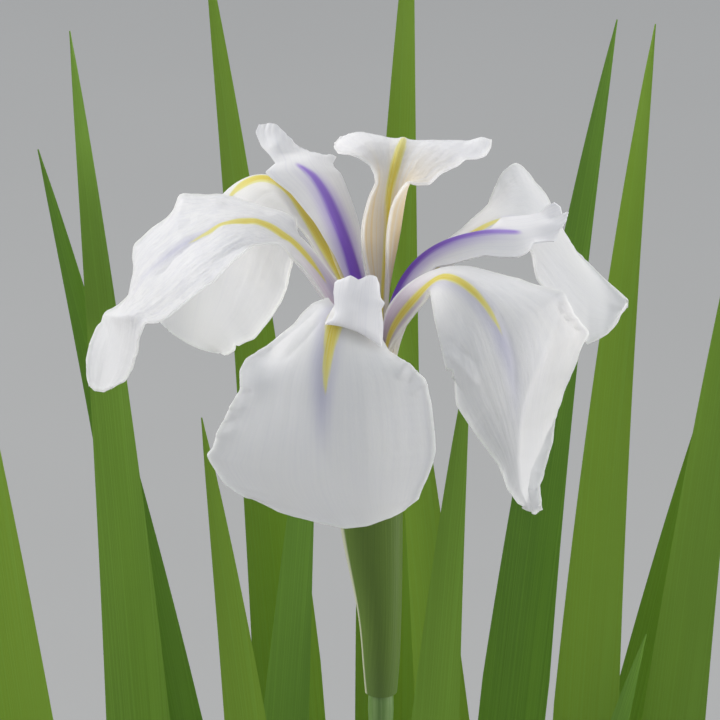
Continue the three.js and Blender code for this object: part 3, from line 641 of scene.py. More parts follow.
PETAL_TUGS = tables("""
fall_front
0.5 -0.85, 0 0 -1.6, 3.5
0.62 -0.9, 0 0 1.2, 4
standard_right
0.62 0.92, 0.6 0.4 1.6, 1.8
0.66 0.84, 0 0 -1.4, 1.6
standard_left
0.92 -0.1, 1.2 0 0, 9
standard_back
0.7 0.05, 0 -2.7 0, 6.5
0.7 -0.4, 0 -1.6 0, 4.5
0.68 -0.92, 0 2 0, 2.8
""")
RUFFLES = {  # seed, depth of the ruffle and depth of the pleats in mm
    "fall_front": (1, 0.25, 0.1), "fall_right": (11, 0.3, 0.1), "fall_left": (21, 0.35, 0.2),
    "standard_left": (31, 0.25, 0.3), "standard_right": (41, 0.3, 0.12), "standard_back": (51, 0.3, 0.12)}

# %% Make the petals
PETAL_SKIN = 0.45
CLAW_SKIN = 1.1


def shaped_petal(points, petal):
    points = outlined(points, petal, PETAL_OUTLINES)
    points = folded(points, PETAL_FOLDS.get(petal, []))
    points = creased(points, PETAL_CREASES.get(petal, []))
    points = tugged(points, PETAL_TUGS.get(petal, []))
    return ruffled(points, *RUFFLES[petal])


for petal, rows in PETALS.items():
    belly = BACK_BELLY if petal == "standard_back" else BELLY
    piece = petal_piece("petal_" + petal, petal, rows, belly, shaped_petal, CLAW_SKIN, PETAL_SKIN)
    hand_in(piece, petal)
print("petal triangles:", [len(PIECES[petal].data.polygons) * 2 for petal in PETALS])

# %% [markdown]
# A style arm lies over each fall like a small petal. It is keeled like a roof, and beyond its hidden
# stigma lip it rises into a crest of two lobes with a crinkled, notched edge.

# %% Style arms
STYLES = tables("""
style_front
-2.7 -5.7 -2, -1.9 -5.85 -1.7, -1.1 -6 -1.4
-4.4 2 5, -2.6 3 5, -1 2 5.4
-7.4 6.4 15, -4.6 9 14.6, -1.8 6.6 15
-10.6 9.6 26, -6.2 12.2 25, -2.2 9.6 25.6
-12.2 9.4 36, -7.4 12 35, -1.6 8.4 35
-14.8 3.8 43.8, -9 0.6 46.4, -0.8 -2.6 43.8
-14 8.8 43.6, -8.4 8.2 45, -1.2 7 42.6
-12 13.2 41, -7.4 12.4 42.2, -1.8 12 40.4
-11.2 14.6 39.8, -7 14.8 40.6, -2.6 14.8 38.8
style_left
-1.4 -5 -3.6, -2.1 -5.2 -3.1, -2.7 -5.4 -2.6
-3.2 4 -2.2, -4 4 -1.2, -4.8 3.6 -1
-4.9 12.8 -2.8, -6.4 12.6 -1.2, -8.4 12 -2
-6.4 21.4 -4.8, -8.8 21.6 -1.8, -12.2 20.6 -4
-7.6 29.6 -7, -12 30 -3, -16.2 28.6 -6
-9.6 37 -9, -15.4 37.8 -5, -22.4 35.6 -7
-12.4 41.4 -10.4, -19.6 42 -7.6, -28.2 40 -7.6
-13.2 42.8 -12, -20.8 44.6 -10.4, -27.6 43.6 -11.4
-12.6 43.8 -12.6, -21.6 46.4 -12.2, -31 48 -14
-12.3 43.9 -13, -22.4 48 -13.2, -30 52 -15
style_right
-0.5 -5.75 -1.8, -0.6 -5.4 -2.6, -0.7 -5.1 -3.3
0.6 3.2 1.8, -0.2 4 0.6, -0.8 3.8 -1.2
3 10 4.8, 1 12 2.6, 0.7 11.4 0
8 15.2 7.4, 5.2 19.4 4.6, 4.6 17.8 0.6
13.8 18.4 9.6, 11.2 24 6.6, 10.4 22 1.8
20 20.4 11.6, 17.4 26 8, 17 24.4 2.6
27 20 12.6, 24.4 27 9, 24 26.8 3
33 20.6 12.8, 31 25.8 9.4, 27.4 29.6 3
36.4 23 12.4, 35 26.6 9.8, 33 30.4 4
38.8 24 11.4, 38.4 27.6 9.4, 36.8 32 5.4
39.4 24.4 11, 40.6 29 9, 38.6 33 7
""")
STYLE_OUTLINES = tables("""
style_front left
-14.4 4.7, -12.8 5.4, -12 6.8, -12.2 9, -12.4 11.8, -11.8 14.2
style_front right
-1.7 -0.4, -2.4 3, -2.4 5, -1.9 7.6, -0.9 9.3, -1.9 10.4, -2.3 12.4, -2.4 14
style_front tip
-11.8 14.2, -10.8 14.6, -9.6 15.1, -8.6 15.5, -7.6 15, -6.9 14.5, -6 14.9, -4.8 15.5, -3.7 15.6, -2.8 15.2,
-2.4 14
style_left left
-6.5 27, -8 32, -9.8 37, -11 40, -12.6 41.5, -12.9 42.4, -12.2 43.8
style_left right
-12.2 20.6, -17 28.6, -22.6 35.4, -26.8 38.6, -28.7 40.3, -27.4 41.4, -26.2 42.4, -27.6 44.4, -29.6 46.6,
-30.8 50, -30 51.7
style_left tip
-12.2 43.8, -13 44.5, -15 44.6, -18 45.3, -20.4 46.4, -22 47.5, -24 49.5, -26 51.7, -27.6 52.1, -30 51.7
style_right left
11 18, 15 18.7, 22 20.6, 26 20.2, 30 20.2, 32 21.2, 33.6 23.4, 36 23.8, 38.7 24
style_right right
24 26.9, 26.4 29.4, 28.8 29.6, 33 30, 35.5 30.6, 36.6 31.9, 38.4 33
style_right tip
38.7 24, 39.4 26.2, 41 28.3, 41.7 30.8, 40.3 30, 39.8 31.9, 38.4 33
""")
STYLE_TUGS = tables("""
style_front
0.63 0.2, 0 0 -1.2, 6
0.8 0, 0 0 -0.6, 2.6
style_left
0.86 -0.1, 0 0 -1.6, 2.4
0.86 0.6, 0 0 1, 2
style_right
0.84 0.1, 0 0 0.8, 2.2
0.93 0.4, 0 0 -0.7, 1.8
""")
CRINKLES = {"style_front": (61, 0.1), "style_left": (71, 0.3), "style_right": (81, 0.22)}
STYLE_SKIN = 0.5

# %% Make the style arms
def crested(points, seed, depth):
    """Style sheet whose crest is crinkled towards its edge, by about depth mm."""
    along, across = rulers(points)[:2]
    crinkle = waves(across[0] * 3.2, across[0] * 8, seed + 1)
    return lifted(points, depth * crinkle[None, :] * ramp_up(along, 0.86, 1))


def shaped_style(points, style):
    points = tugged(outlined(points, style, STYLE_OUTLINES), STYLE_TUGS[style])
    return crested(points, *CRINKLES[style])


for style, rows in STYLES.items():
    piece = petal_piece("arm_" + style, style, rows, 0, shaped_style, STYLE_SKIN, STYLE_SKIN)
    hand_in(piece, style)
print("style arms:", list(STYLES))

# %% [markdown]
# Under each style arm lies one stamen: a slender filament and a long anther of two pollen sacs. A stamen
# is a tube drawn along a curve, thin at first and then thicker with a groove along the anther. They are
# mostly hidden, so they stay simple, but they have to be there when the flower is seen from the side.

# %% Tubes
def spline(points, position):
    """Uniform cubic B-spline through the ends of a list of points."""
    spans = len(points) - 1
    index = min(int(position * spans), spans - 1)
    f = position * spans - index
    padded = [points[0] * 2 - points[1], *points, points[-1] * 2 - points[-2]]
    weights = ((1 - f) ** 3, 3 * f ** 3 - 6 * f ** 2 + 4, -3 * f ** 3 + 3 * f ** 2 + 3 * f + 1, f ** 3)
    return sum((padded[index + k] * (weight / 6) for k, weight in enumerate(weights)), points[0] * 0)


def tube_primitive(name, sides, rings):
    """Upright cylinder of radius 1 from height 0 to 1, cut into rings, with closed ends."""
    begin()
    bpy.ops.mesh.primitive_cylinder_add(vertices=sides, radius=1, depth=1, location=(0, 0, 0.5))
    piece = added(name)
    bpy.ops.object.transform_apply(location=True)
    bpy.ops.object.mode_set(mode="EDIT")
    bpy.ops.mesh.select_mode(type="EDGE")
    bpy.ops.mesh.select_all(action="DESELECT")
    for line in bmesh.from_edit_mesh(piece.data).edges:
        line.select = abs(line.verts[0].co.z - line.verts[1].co.z) > 0.5
    bmesh.update_edit_mesh(piece.data)
    bpy.ops.mesh.subdivide(number_cuts=rings - 1)
    bpy.ops.object.mode_set(mode="OBJECT")
    return piece


def tube_piece(name, grid, place, node):
    """Tube whose vertices are moved to place(share along, angle, share of the radius), in mm."""
    piece = tube_primitive(name, *grid)
    unit = points_of(piece) * MM
    moved = [place(min(max(z, 0), 1), math.atan2(y, x), math.hypot(x, y)) for x, y, z in unit]
    move_points(piece, np.array(moved))
    hand_in(piece, node)


# %% Stamens
STAMENS = tables("""
stamen_front
-2.8 -2.2 2.6, -4 1.4 8.8, -6.4 5.4 17.8, -9 8.2 28
stamen_right
0.9 1.8 -0.6, 2.2 6.4 0, 6.4 13.6 1.2, 14.6 21.6 1.8
stamen_left
-3.6 -1 -3.2, -5.2 4.4 -3, -8.6 13 -4.2, -14 24.6 -6.6
""")
STAMEN_GRID = (16, 48)
STAMEN_RADII = (0.45, 0.5, 0.5, 0.9, 1.2, 1.0, 0.5)
ANTHER_GROOVE = 0.3
ANTHER_HEIGHT = 0.8


def stamen_place(path, along, angle, share):
    ahead = (spline(path, min(along + 0.01, 1)) - spline(path, max(along - 0.01, 0))).normalized()
    aside = Vector((0, 0, 1)).cross(ahead).normalized()
    radius = float(np.interp(along, np.linspace(0, 1, len(STAMEN_RADII)), STAMEN_RADII))
    groove = 1 - ANTHER_GROOVE * ramp_up(along, 0.4, 0.55) * math.cos(angle - math.pi / 2) ** 8
    radius = radius * groove * share * (1 if along < 0.97 else 0.6)
    height = radius * ANTHER_HEIGHT * math.sin(angle)
    return spline(path, along) + aside * (radius * math.cos(angle)) + ahead.cross(aside) * height


for stamen, (row,) in STAMENS.items():
    path = [seen(*spot) for spot in row]
    tube_piece("pollen_" + stamen, STAMEN_GRID, lambda *spot: stamen_place(path, *spot), stamen)
print("stamens:", len(STAMENS))

# %% [markdown]
# The stem is round and solid, a little thicker at the foot, and swells at the joint where the stem leaf
# and the sheaths are set. The ovary, three-sided with soft grooves, stands on it inside the sheaths and
# narrows to the tube that carries the petals.

# %% Stem and ovary
def foot_of(node):
    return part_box(node)[0].z / MM


def top_of(node):
    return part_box(node)[1].z / MM


SPATHE_BASE = foot_of("spathe_outer")
STEM_FOOT, STEM_TOP = foot_of("stem"), top_of("stem")
OVARY_FOOT, OVARY_TOP = foot_of("ovary"), top_of("ovary")
STEM_GRID = (36, 160)
OVARY_GRID = (36, 60)
STEM_RADIUS = 2.9
STEM_HEIGHTS = (STEM_FOOT, 260, SPATHE_BASE - 6, STEM_TOP)
STEM_RADII = (STEM_RADIUS + 1.2, STEM_RADIUS + 0.6, STEM_RADIUS, 2.2)
JOINTS = (240, SPATHE_BASE - 3)
JOINT_SWELL = 0.35
JOINT_LENGTH = 2.5
OVARY_STAGES = (0, 0.17, 0.33, 0.5, 0.64, 0.83, 1)
OVARY_RADII = (2.2, 2.4, 3.1, 3.0, 2.0, 2.2, 3.1)


def round_spot(radius, angle, height):
    return Vector((radius * math.cos(angle), radius * math.sin(angle), height))


def stem_place(along, angle, share):
    height = STEM_FOOT + (STEM_TOP - STEM_FOOT) * along
    radius = float(np.interp(height, STEM_HEIGHTS, STEM_RADII))
    for joint in JOINTS:
        radius += JOINT_SWELL * math.exp(-((height - joint) / JOINT_LENGTH) ** 2)
    radius *= 1 + 0.012 * math.sin(angle * 9 + height * 0.01)
    return round_spot(radius * share, angle, height)


def ovary_place(along, angle, share):
    radius = float(np.interp(along, OVARY_STAGES, OVARY_RADII))
    radius *= 1 - 0.05 * (1 - math.cos(angle * 3)) / 2
    return round_spot(radius * share, angle, OVARY_FOOT + (OVARY_TOP - OVARY_FOOT) * along)


tube_piece("flower_stem", STEM_GRID, stem_place, "stem")
tube_piece("flower_ovary", OVARY_GRID, ovary_place, "ovary")
print("stem height mm:", round(STEM_TOP - STEM_FOOT))

# %% [markdown]
# Two green sheaths, the spathe valves, wrap the ovary, and one leaf clasps the stem lower down. Each is a
# strip that is rolled round the stem and opens as it rises. A dense grid laid on the rolled form, then
# given thickness, keeps the overlap and the thin margin that show in the photograph.

# %% Sheaths
SHEATH_ROWS = 97
SHEATH_COLUMNS = 49
SHEATHS = {  # direction of the keel in degrees, thickness and height of the foot in mm
    "spathe_inner": (180, 0.4, SPATHE_BASE), "spathe_outer": (0, 0.45, SPATHE_BASE),
    "stem_leaf": (-24, 0.8, 0)}
SHEATH_STAGES = tables("""
spathe_inner
12 0 3.2 3.2 150, 28 0 3.9 3.9 150, 45 1 4.8 4 140, 61 2.4 6 4 120, 78 2.8 6.4 3.7 95,
90 3 6.4 3.3 55, 98 3.2 6.4 3 10
spathe_outer
0 0 3.6 3.6 168, 8 0 4.3 4.3 168, 20 -0.2 4.8 4.8 168, 32 -1.4 6.2 5 158, 44 -2.9 7.7 5.1 150,
56 -3.6 8.4 5.1 146, 66 -3.9 8.6 4.9 135, 76 -3.8 8.2 4.8 92, 81 -3.6 7.8 4.6 48, 84 -3.4 7.5 4.4 8
stem_leaf
236 0 4.7 4.7 165, 256 0 5 5 165, 290 1 5.8 5.8 130, 330 4 7 7 85, 370 10 8 8 55, 410 20 9 9 34,
440 30 10 10 6
""")


def directions(degrees):
    """Vectors along and across a direction on the ground."""
    turn = math.radians(degrees)
    return Vector((math.cos(turn), math.sin(turn), 0)), Vector((-math.sin(turn), math.cos(turn), 0))


def sheath_piece(name, keel, thickness, foot, stages):
    """A stage is height, distance the middle has moved to the keel, half length, half width, half angle."""
    piece = grid_primitive(name, SHEATH_ROWS, SHEATH_COLUMNS)
    order = lattice(piece, SHEATH_ROWS, SHEATH_COLUMNS)
    out, aside = directions(keel)
    knots = [np.array([foot + height, *roll]) for height, *roll in stages]
    points = np.empty((SHEATH_ROWS, SHEATH_COLUMNS, 3))
    for row in range(SHEATH_ROWS):
        height, move, length, width, half = spline(knots, row / (SHEATH_ROWS - 1))
        for column in range(SHEATH_COLUMNS):
            angle = math.radians(half) * (2 * column / (SHEATH_COLUMNS - 1) - 1)
            spot = out * (move + length * math.cos(angle)) + aside * (width * math.sin(angle))
            points[row, column] = (spot.x, spot.y, height)
    lay_out(piece, order, points)
    apply_modifier(piece, "SOLIDIFY", thickness=thickness * MM, offset=0, material_offset=1)
    return piece


for sheath, settings in SHEATHS.items():
    piece = sheath_piece("sheath_" + sheath, *settings, SHEATH_STAGES[sheath][0])
    hand_in(piece, sheath)
print("sheaths:", list(SHEATHS))

# %% [markdown]
# The leaves of this iris are flat swords without a raised midrib. Each fan is one shoot, and its leaves
# stand edge to edge in one plane, the inner ones tall and the outer ones short and leaning away. One
# upright tube is pressed flat into a sword, then a copy with its own mesh is bent for each leaf.

# %% Sword leaves
LEAF_GRID = (24, 120)
LEAF_WIDTH = 17
LEAF_THICKNESS = 2
LAYER = LEAF_THICKNESS + 0.6
# Each row is a fan: x, y and direction, then each leaf's place in it, height, lean, droop and side move.
FANS = tables("""
fans
-4 16 8, -16 300 -0.16 -0.06 6, 14 330 0.12 0.05 8, -7 380 -0.05 -0.03 10, 8 400 0.02 0.03 14
-54 34 24, -18 310 -0.17 -0.1 0, 16 400 0.05 0.02 6, -9 430 -0.07 -0.02 10, 6 470 -0.02 -0.02 16,
-1 450 -0.1 -0.04 24
50 38 -22, 18 320 0.2 0.1 0, -16 420 -0.06 -0.03 6, 9 440 0.1 0.04 10, -6 480 0 0.03 16,
1 460 0.05 0.02 24
4 68 4, -22 430 -0.1 -0.05 0, 22 440 0.12 0.05 3, -12 480 -0.04 -0.03 8, 12 470 0.05 0.04 12,
0 500 -0.01 0.02 16
-40 -44 -34, -14 230 -0.3 -0.16 -12, 12 290 0.02 0.03 -4, -4 310 -0.12 -0.06 4
44 -40 38, 14 240 0.3 0.16 -12, -12 280 -0.02 -0.03 4, 4 315 0.12 0.05 -5
""")["fans"]


def leaf_piece(name, master, foot, out, aside, bend, tint):
    """Copy of the upright sword that is bent along its spine; bend is height, lean, droop and side move."""
    height, lean, droop, side = bend

    def spine(t):
        rise = Vector((0, 0, height * (t - 0.45 * droop * t ** 4)))
        return foot + out * (height * (lean * t + droop * t ** 3)) + aside * (side * t ** 2) + rise

    piece = master.copy()
    piece.data = master.data.copy()
    piece.name = piece.data.name = name
    bpy.context.scene.collection.objects.link(piece)
    unit = points_of(piece) * MM
    moved = np.empty_like(unit)
    rib = np.empty(len(unit))
    for index, (x, y, z) in enumerate(unit):
        t = min(max(z, 0), 1) ** 0.85
        ahead = Vector((0, 0, 1)) if t == 0 else (spine(min(t + 0.01, 1)) - spine(t - 0.01)).normalized()
        across = aside.cross(ahead).normalized()
        taper = max(min(1, 2.6 * (1 - t)), 0) ** 0.8
        half = (LEAF_WIDTH / 2) * (0.8 + 0.2 * min(1, 4 * t)) * max(taper, 0.02)
        thick = (LEAF_THICKNESS / 2) * (1 - 0.6 * t) * max(taper, 0.15)
        moved[index] = spine(t) + across * (half * x) + ahead.cross(across) * (thick * y)
        rib[index] = half * x
    move_points(piece, moved)
    note_on(piece, "rib", rib)
    note_on(piece, "along", np.clip(unit[:, 2], 0, 1))
    note_on(piece, "tint", np.full(len(unit), tint))
    return piece


leaf_master = tube_primitive("leaf_master", *LEAF_GRID)
sword = points_of(leaf_master) * MM
sword[:, 1] = np.sign(sword[:, 1]) * (1 - np.abs(sword[:, 0]) ** 1.6) * (np.abs(sword[:, 1]) > 1e-6)
move_points(leaf_master, sword / MM)
leaf_names = []
for fan_number, ((x, y, turn), *leaves) in enumerate(FANS, 1):
    out, aside = directions(turn)
    for number, (place_in_fan, *bend) in enumerate(leaves):
        layer = (number - (len(leaves) - 1) / 2) * LAYER
        foot = Vector((x, y, STEM_FOOT)) + out * place_in_fan + aside * layer
        tint = 0.5 + 0.5 * math.sin(x + number * 2.4)
        leaf = f"{fan_number}_{number + 1}"
        piece = leaf_piece("blade_" + leaf, leaf_master, foot, out, aside, bend, tint)
        hand_in(piece, "leaf_" + leaf)
        leaf_names.append("leaf_" + leaf)
bpy.data.objects.remove(leaf_master)
print("leaves:", len(leaf_names))

# %% [markdown]
# The pot is thrown on a wheel, so it is spun here too: half its section is drawn as one chain of edges,
# its corners are rounded, and the chain is spun round the axis. Low rings from the potter's fingers and a
# slightly uneven surface go on afterwards. The soil that fills it is spun in the same way.

# %% Spinning
SPIN_STEPS = 160
LINE_CUTS = 6


def spun(name, section, corner, piece_length):
    """Spins a chain of [radius, height] in mm; corners are rounded and edges cut to about piece_length."""
    begin()
    bpy.ops.mesh.primitive_plane_add(size=MM)
    piece = added(name)
    bpy.ops.object.mode_set(mode="EDIT")
    bpy.ops.mesh.select_mode(type="VERT")
    bpy.ops.mesh.select_all(action="SELECT")
    bpy.ops.mesh.merge(type="CENTER")
    previous, *chain = [Vector((radius, 0, height)) * MM for radius, height in section]
    bpy.ops.mesh.select_all(action="SELECT")
    bpy.ops.transform.translate(value=previous)
    for spot in chain:
        bpy.ops.mesh.extrude_region_move(TRANSFORM_OT_translate={"value": spot - previous})
        previous = spot
    bpy.ops.mesh.select_all(action="SELECT")
    bpy.ops.mesh.bevel(offset=corner * MM, segments=4, affect="VERTICES")
    bpy.ops.mesh.select_mode(type="EDGE")
    for cut in range(LINE_CUTS):
        bpy.ops.mesh.select_all(action="DESELECT")
        for line in bmesh.from_edit_mesh(piece.data).edges:
            line.select = line.calc_length() > piece_length * MM
        bmesh.update_edit_mesh(piece.data)
        bpy.ops.mesh.subdivide(number_cuts=1)
    bpy.ops.mesh.select_all(action="SELECT")
    bpy.ops.mesh.spin(steps=SPIN_STEPS, angle=2 * math.pi, center=(0, 0, 0), axis=(0, 0, 1))
    bpy.ops.mesh.select_all(action="SELECT")
    bpy.ops.mesh.remove_doubles(threshold=0.01 * MM)
    bpy.ops.mesh.normals_make_consistent(inside=False)
    bpy.ops.object.mode_set(mode="OBJECT")
    return piece


# %% Pot
RING_DEPTH = 0.22
UNEVEN_DEPTH, FINE_DEPTH = 0.35, 0.12
POT_HEIGHT = top_of("pot")
POT_TOP_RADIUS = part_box("pot")[1].x / MM
POT_FOOT_RADIUS = 80
POT_WALL = 8
RIM_HEIGHT = 26
RIM_STEP = 5
RIM_FOOT = POT_HEIGHT - RIM_HEIGHT
FLOOR_CURVE = POT_WALL + 6
POT_TAPER = (POT_TOP_RADIUS - RIM_STEP - POT_FOOT_RADIUS) / POT_HEIGHT


def wall_radius(height, inside=0):
    """Radius of the pot's wall at a height, so many mm inside its outer face."""
    return POT_FOOT_RADIUS - inside + POT_TAPER * height


pot_piece = spun("clay_pot", [
    [0, 0], [POT_FOOT_RADIUS - 2, 0], [wall_radius(RIM_FOOT), RIM_FOOT],
    [wall_radius(RIM_FOOT) + RIM_STEP, RIM_FOOT + 2], [POT_TOP_RADIUS, POT_HEIGHT],
    [wall_radius(POT_HEIGHT, POT_WALL) + 2, POT_HEIGHT], [wall_radius(FLOOR_CURVE, POT_WALL), FLOOR_CURVE],
    [wall_radius(FLOOR_CURVE, POT_WALL) - 6, POT_WALL], [0, POT_WALL]], corner=1.6, piece_length=2.4)
clay = points_of(pot_piece)
for number, (x, y, z) in enumerate(clay):
    radius = math.hypot(x, y)
    if radius > POT_FOOT_RADIUS / 2 and z > 3:
        rings = RING_DEPTH * math.sin(z * 1.15 + 0.6 * math.sin(z * 0.31))
        uneven = UNEVEN_DEPTH * noise.noise(Vector((x, y, z * 1.5)) / 22)
        uneven += FINE_DEPTH * noise.noise(Vector((x, y, z)) / 5)
        share = (radius - 0.15 + min(rings + uneven, 0.1)) / radius
        clay[number, :2] = x * share, y * share
move_points(pot_piece, clay)
hand_in(pot_piece, "pot", 40)
print("pot points:", len(clay))

# %% Soil
SOIL_TOP = top_of("soil")
LUMP_SIZE = 13
LUMP_HEIGHT = 1.6
soil_piece = spun("wet_soil", [
    [0, POT_WALL + 0.3], [wall_radius(FLOOR_CURVE, POT_WALL) - 6.3, POT_WALL + 0.3],
    [wall_radius(FLOOR_CURVE, POT_WALL) - 0.6, POT_WALL + 6.3],
    [wall_radius(SOIL_TOP - 2, POT_WALL) - 0.6, SOIL_TOP - 3],
    [wall_radius(SOIL_TOP, POT_WALL) - 4, SOIL_TOP - 1], [0, SOIL_TOP - 1]], corner=1.0, piece_length=2.6)
ground = points_of(soil_piece)
for number, (x, y, z) in enumerate(ground):
    if z > SOIL_TOP - 2:
        lumps = noise.fractal(Vector((x, y, 3)) / LUMP_SIZE, 0.6, 2.2, 5)
        ground[number, 2] = z + LUMP_HEIGHT * lumps - 0.6
move_points(soil_piece, ground)
hand_in(soil_piece, "soil", 60)
print("soil points:", len(ground))

# %% [markdown]
# Finishes are node materials. A small helper adds a node, sets it and plugs it in, so that each finish
# below reads like a recipe. The petals are thin enough for light to come through, so their shader mixes a
# soft surface with a translucent one.

# %% Node helpers
FINISHES = {}


def is_socket(value):
    return isinstance(value, bpy.types.NodeSocket)


def put(tree, kind, inputs, output=0, **settings):
    """Adds a node; what comes from another node is plugged in, and any other value is typed in."""
    made = tree.nodes.new("ShaderNode" + kind)
    for setting, value in settings.items():
        setattr(made, setting, value)
    for socket, value in inputs.items():
        if is_socket(value):
            tree.links.new(value, made.inputs[socket])
        else:
            made.inputs[socket].default_value = value
    return made.outputs[output]


def finish(name, roughness, specular):
    """A new material's shader, and the place on the piece in metres."""
    FINISHES[name] = bpy.data.materials.new(name)
    FINISHES[name].use_nodes = True
    tree = FINISHES[name].node_tree
    shader = tree.nodes["Principled BSDF"]
    shader.inputs["Roughness"].default_value = roughness
    shader.inputs["Specular IOR Level"].default_value = specular
    return shader, put(tree, "TexCoord", {}, "Object")


def ruler(shader, name):
    return put(shader.id_data, "Attribute", {}, "Fac", attribute_name=name)


def laid_on(shader, colour, height, depth, strength, through=None):
    """Colour, a relief of some depth in mm and, in thin living tissue, the share of light let through."""
    tree = shader.id_data
    bump = put(tree, "Bump", {"Height": height, "Distance": depth * MM, "Strength": strength}, "Normal")
    tree.links.new(colour, shader.inputs["Base Color"])
    tree.links.new(bump, shader.inputs["Normal"])
    if through is not None:
        thin = put(tree, "BsdfTranslucent", {"Color": colour})
        mixed = put(tree, "MixShader", {0: through, 1: shader.outputs[0], 2: thin})
        tree.links.new(mixed, tree.nodes["Material Output"].inputs["Surface"])


def wear(nodes, *names):
    for node in nodes:
        for name in names:
            PIECES[node].data.materials.append(FINISHES[name])


# %% Recipe steps
SOFT_LINES = (0.4, 0.6)  # levels of a noise where its lines begin and where they are full
RAMP_TOP = 10.0  # mm that a full ramp stands for


def calc(operation, first, second=0.0, third=0.0):
    return put(first.id_data, "Math", {0: first, 1: second, 2: third}, operation=operation)


def times(first, second, plus=0.0):
    return calc("MULTIPLY_ADD", first, second, plus)


def minus(first, second):
    return calc("SUBTRACT", first, second)


def size_of(value, shift=0.0):
    """The value without its sign, once it has been shifted."""
    return calc("ABSOLUTE", calc("ADD", value, shift))


def between(value, start, end, low=0.0, high=1.0):
    """Goes softly from low to high as the value goes from start to end."""
    return put(value.id_data, "MapRange", {"Value": value, "From Min": start, "From Max": end,
               "To Min": low, "To Max": high}, interpolation_type="SMOOTHSTEP")


def blend(share, first, second):
    first, second = (colour if is_socket(colour) else (*colour, 1) for colour in (first, second))
    return put(share.id_data, "Mix", {0: share, 6: first, 7: second}, 2, data_type="RGBA")


def grain(place, scale, detail=3.0, roughness=0.5):
    return put(place.id_data, "TexNoise", {"Vector": place, "Scale": scale, "Detail": detail,
               "Roughness": roughness}, "Fac")


def stretched(place, wide, high):
    return put(place.id_data, "Mapping", {"Vector": place, "Scale": (wide, wide, high)})


def streaks(along, across, seed, fine, long, detail=3.0, roughness=0.6):
    """Irregular lines that run along the sheet and fan out with it."""
    place = {0: times(across, fine), 1: times(along, long), 2: seed}
    return grain(put(along.id_data, "CombineXYZ", place), 1.0, detail, roughness)


def line_mask(along, spread, stops, soft):
    """1 inside a line whose half width follows the stops [share along, mm], with soft sides."""
    level = put(along.id_data, "ValToRGB", {0: along})
    marks = level.node.color_ramp.elements
    while len(marks) < len(stops):
        marks.new(0.5)
    for mark, (share, width) in zip(marks, stops):
        mark.position = share
        mark.color = (*[width / RAMP_TOP] * 3, 1)
    width = times(level, RAMP_TOP)
    return times(between(minus(width, spread), -soft, soft), between(width, 0.02, 0.3))


# %% [markdown]
# Petal tissue is white with a breath of grey-violet in its veins. The veins leave the claw together and
# fan out over the blade, so they are drawn in the petal's own share across. The yellow signal runs along
# the midrib; its half width at each share along the petal is a short list of stops, so each petal has its
# own signal. Past it a faint violet flush follows the midrib.

# %% Petal colours
WHITE = (0.89, 0.885, 0.897)
WARM_WHITE = (0.91, 0.9, 0.885)
UNDER_WHITE = (0.84, 0.85, 0.82)
UNDER_WARM = (0.88, 0.87, 0.85)
RIM_HIGHLIGHT = (0.97, 0.965, 0.96)
VEIN = (0.62, 0.62, 0.72)
UNDER_VEIN = (0.7, 0.73, 0.66)
SIGNAL = (0.8, 0.67, 0.08)
PALE_SIGNAL = (0.86, 0.82, 0.4)
FLUSH = (0.45, 0.44, 0.66)
CLAW = (0.74, 0.58, 0.72)
TAN_CLAW = (0.87, 0.74, 0.49)
UNDER_CLAW = (0.6, 0.5, 0.62)
CLAW_FOOT_SHADE = (0.4, 0.33, 0.36)
PETAL_THROUGH = 0.5
RIM_THROUGH = 0.3
PAPILLAE = 4500.0

# %% Petal finish
def rim_of(shader):
    """1 on the last half millimetre of a sheet, where it thins out and lets more light through, and where a
    painted highlight whitens it.
    """
    return between(ruler(shader, "edge"), 1.1, 0.2)


def fan_veins(along, across, seed):
    drift = streaks(along, across, seed, 3.0, 4.0, roughness=0.5)
    phase = times(across, 70.0, times(drift, 16.0))
    return calc("POWER", calc("ABSOLUTE", calc("SINE", phase)), 4.0)


def clawed(colour, along, across, seed, claw, faintest, claw_colour):
    """Lines of the claw's own colour that end in the blade, and painted shade at its foot, where the claws
    meet in the heart.
    """
    lines = between(streaks(along, across, seed + 2, 12.0, 1.2), *SOFT_LINES, faintest, 0.95)
    colour = blend(times(claw, lines), colour, claw_colour)
    # Painted shade: the foot of the claw is darkened where the claws meet deep in the heart of the flower.
    return blend(between(along, 0.14, 0.03, 0.0, 0.7), colour, CLAW_FOOT_SHADE)


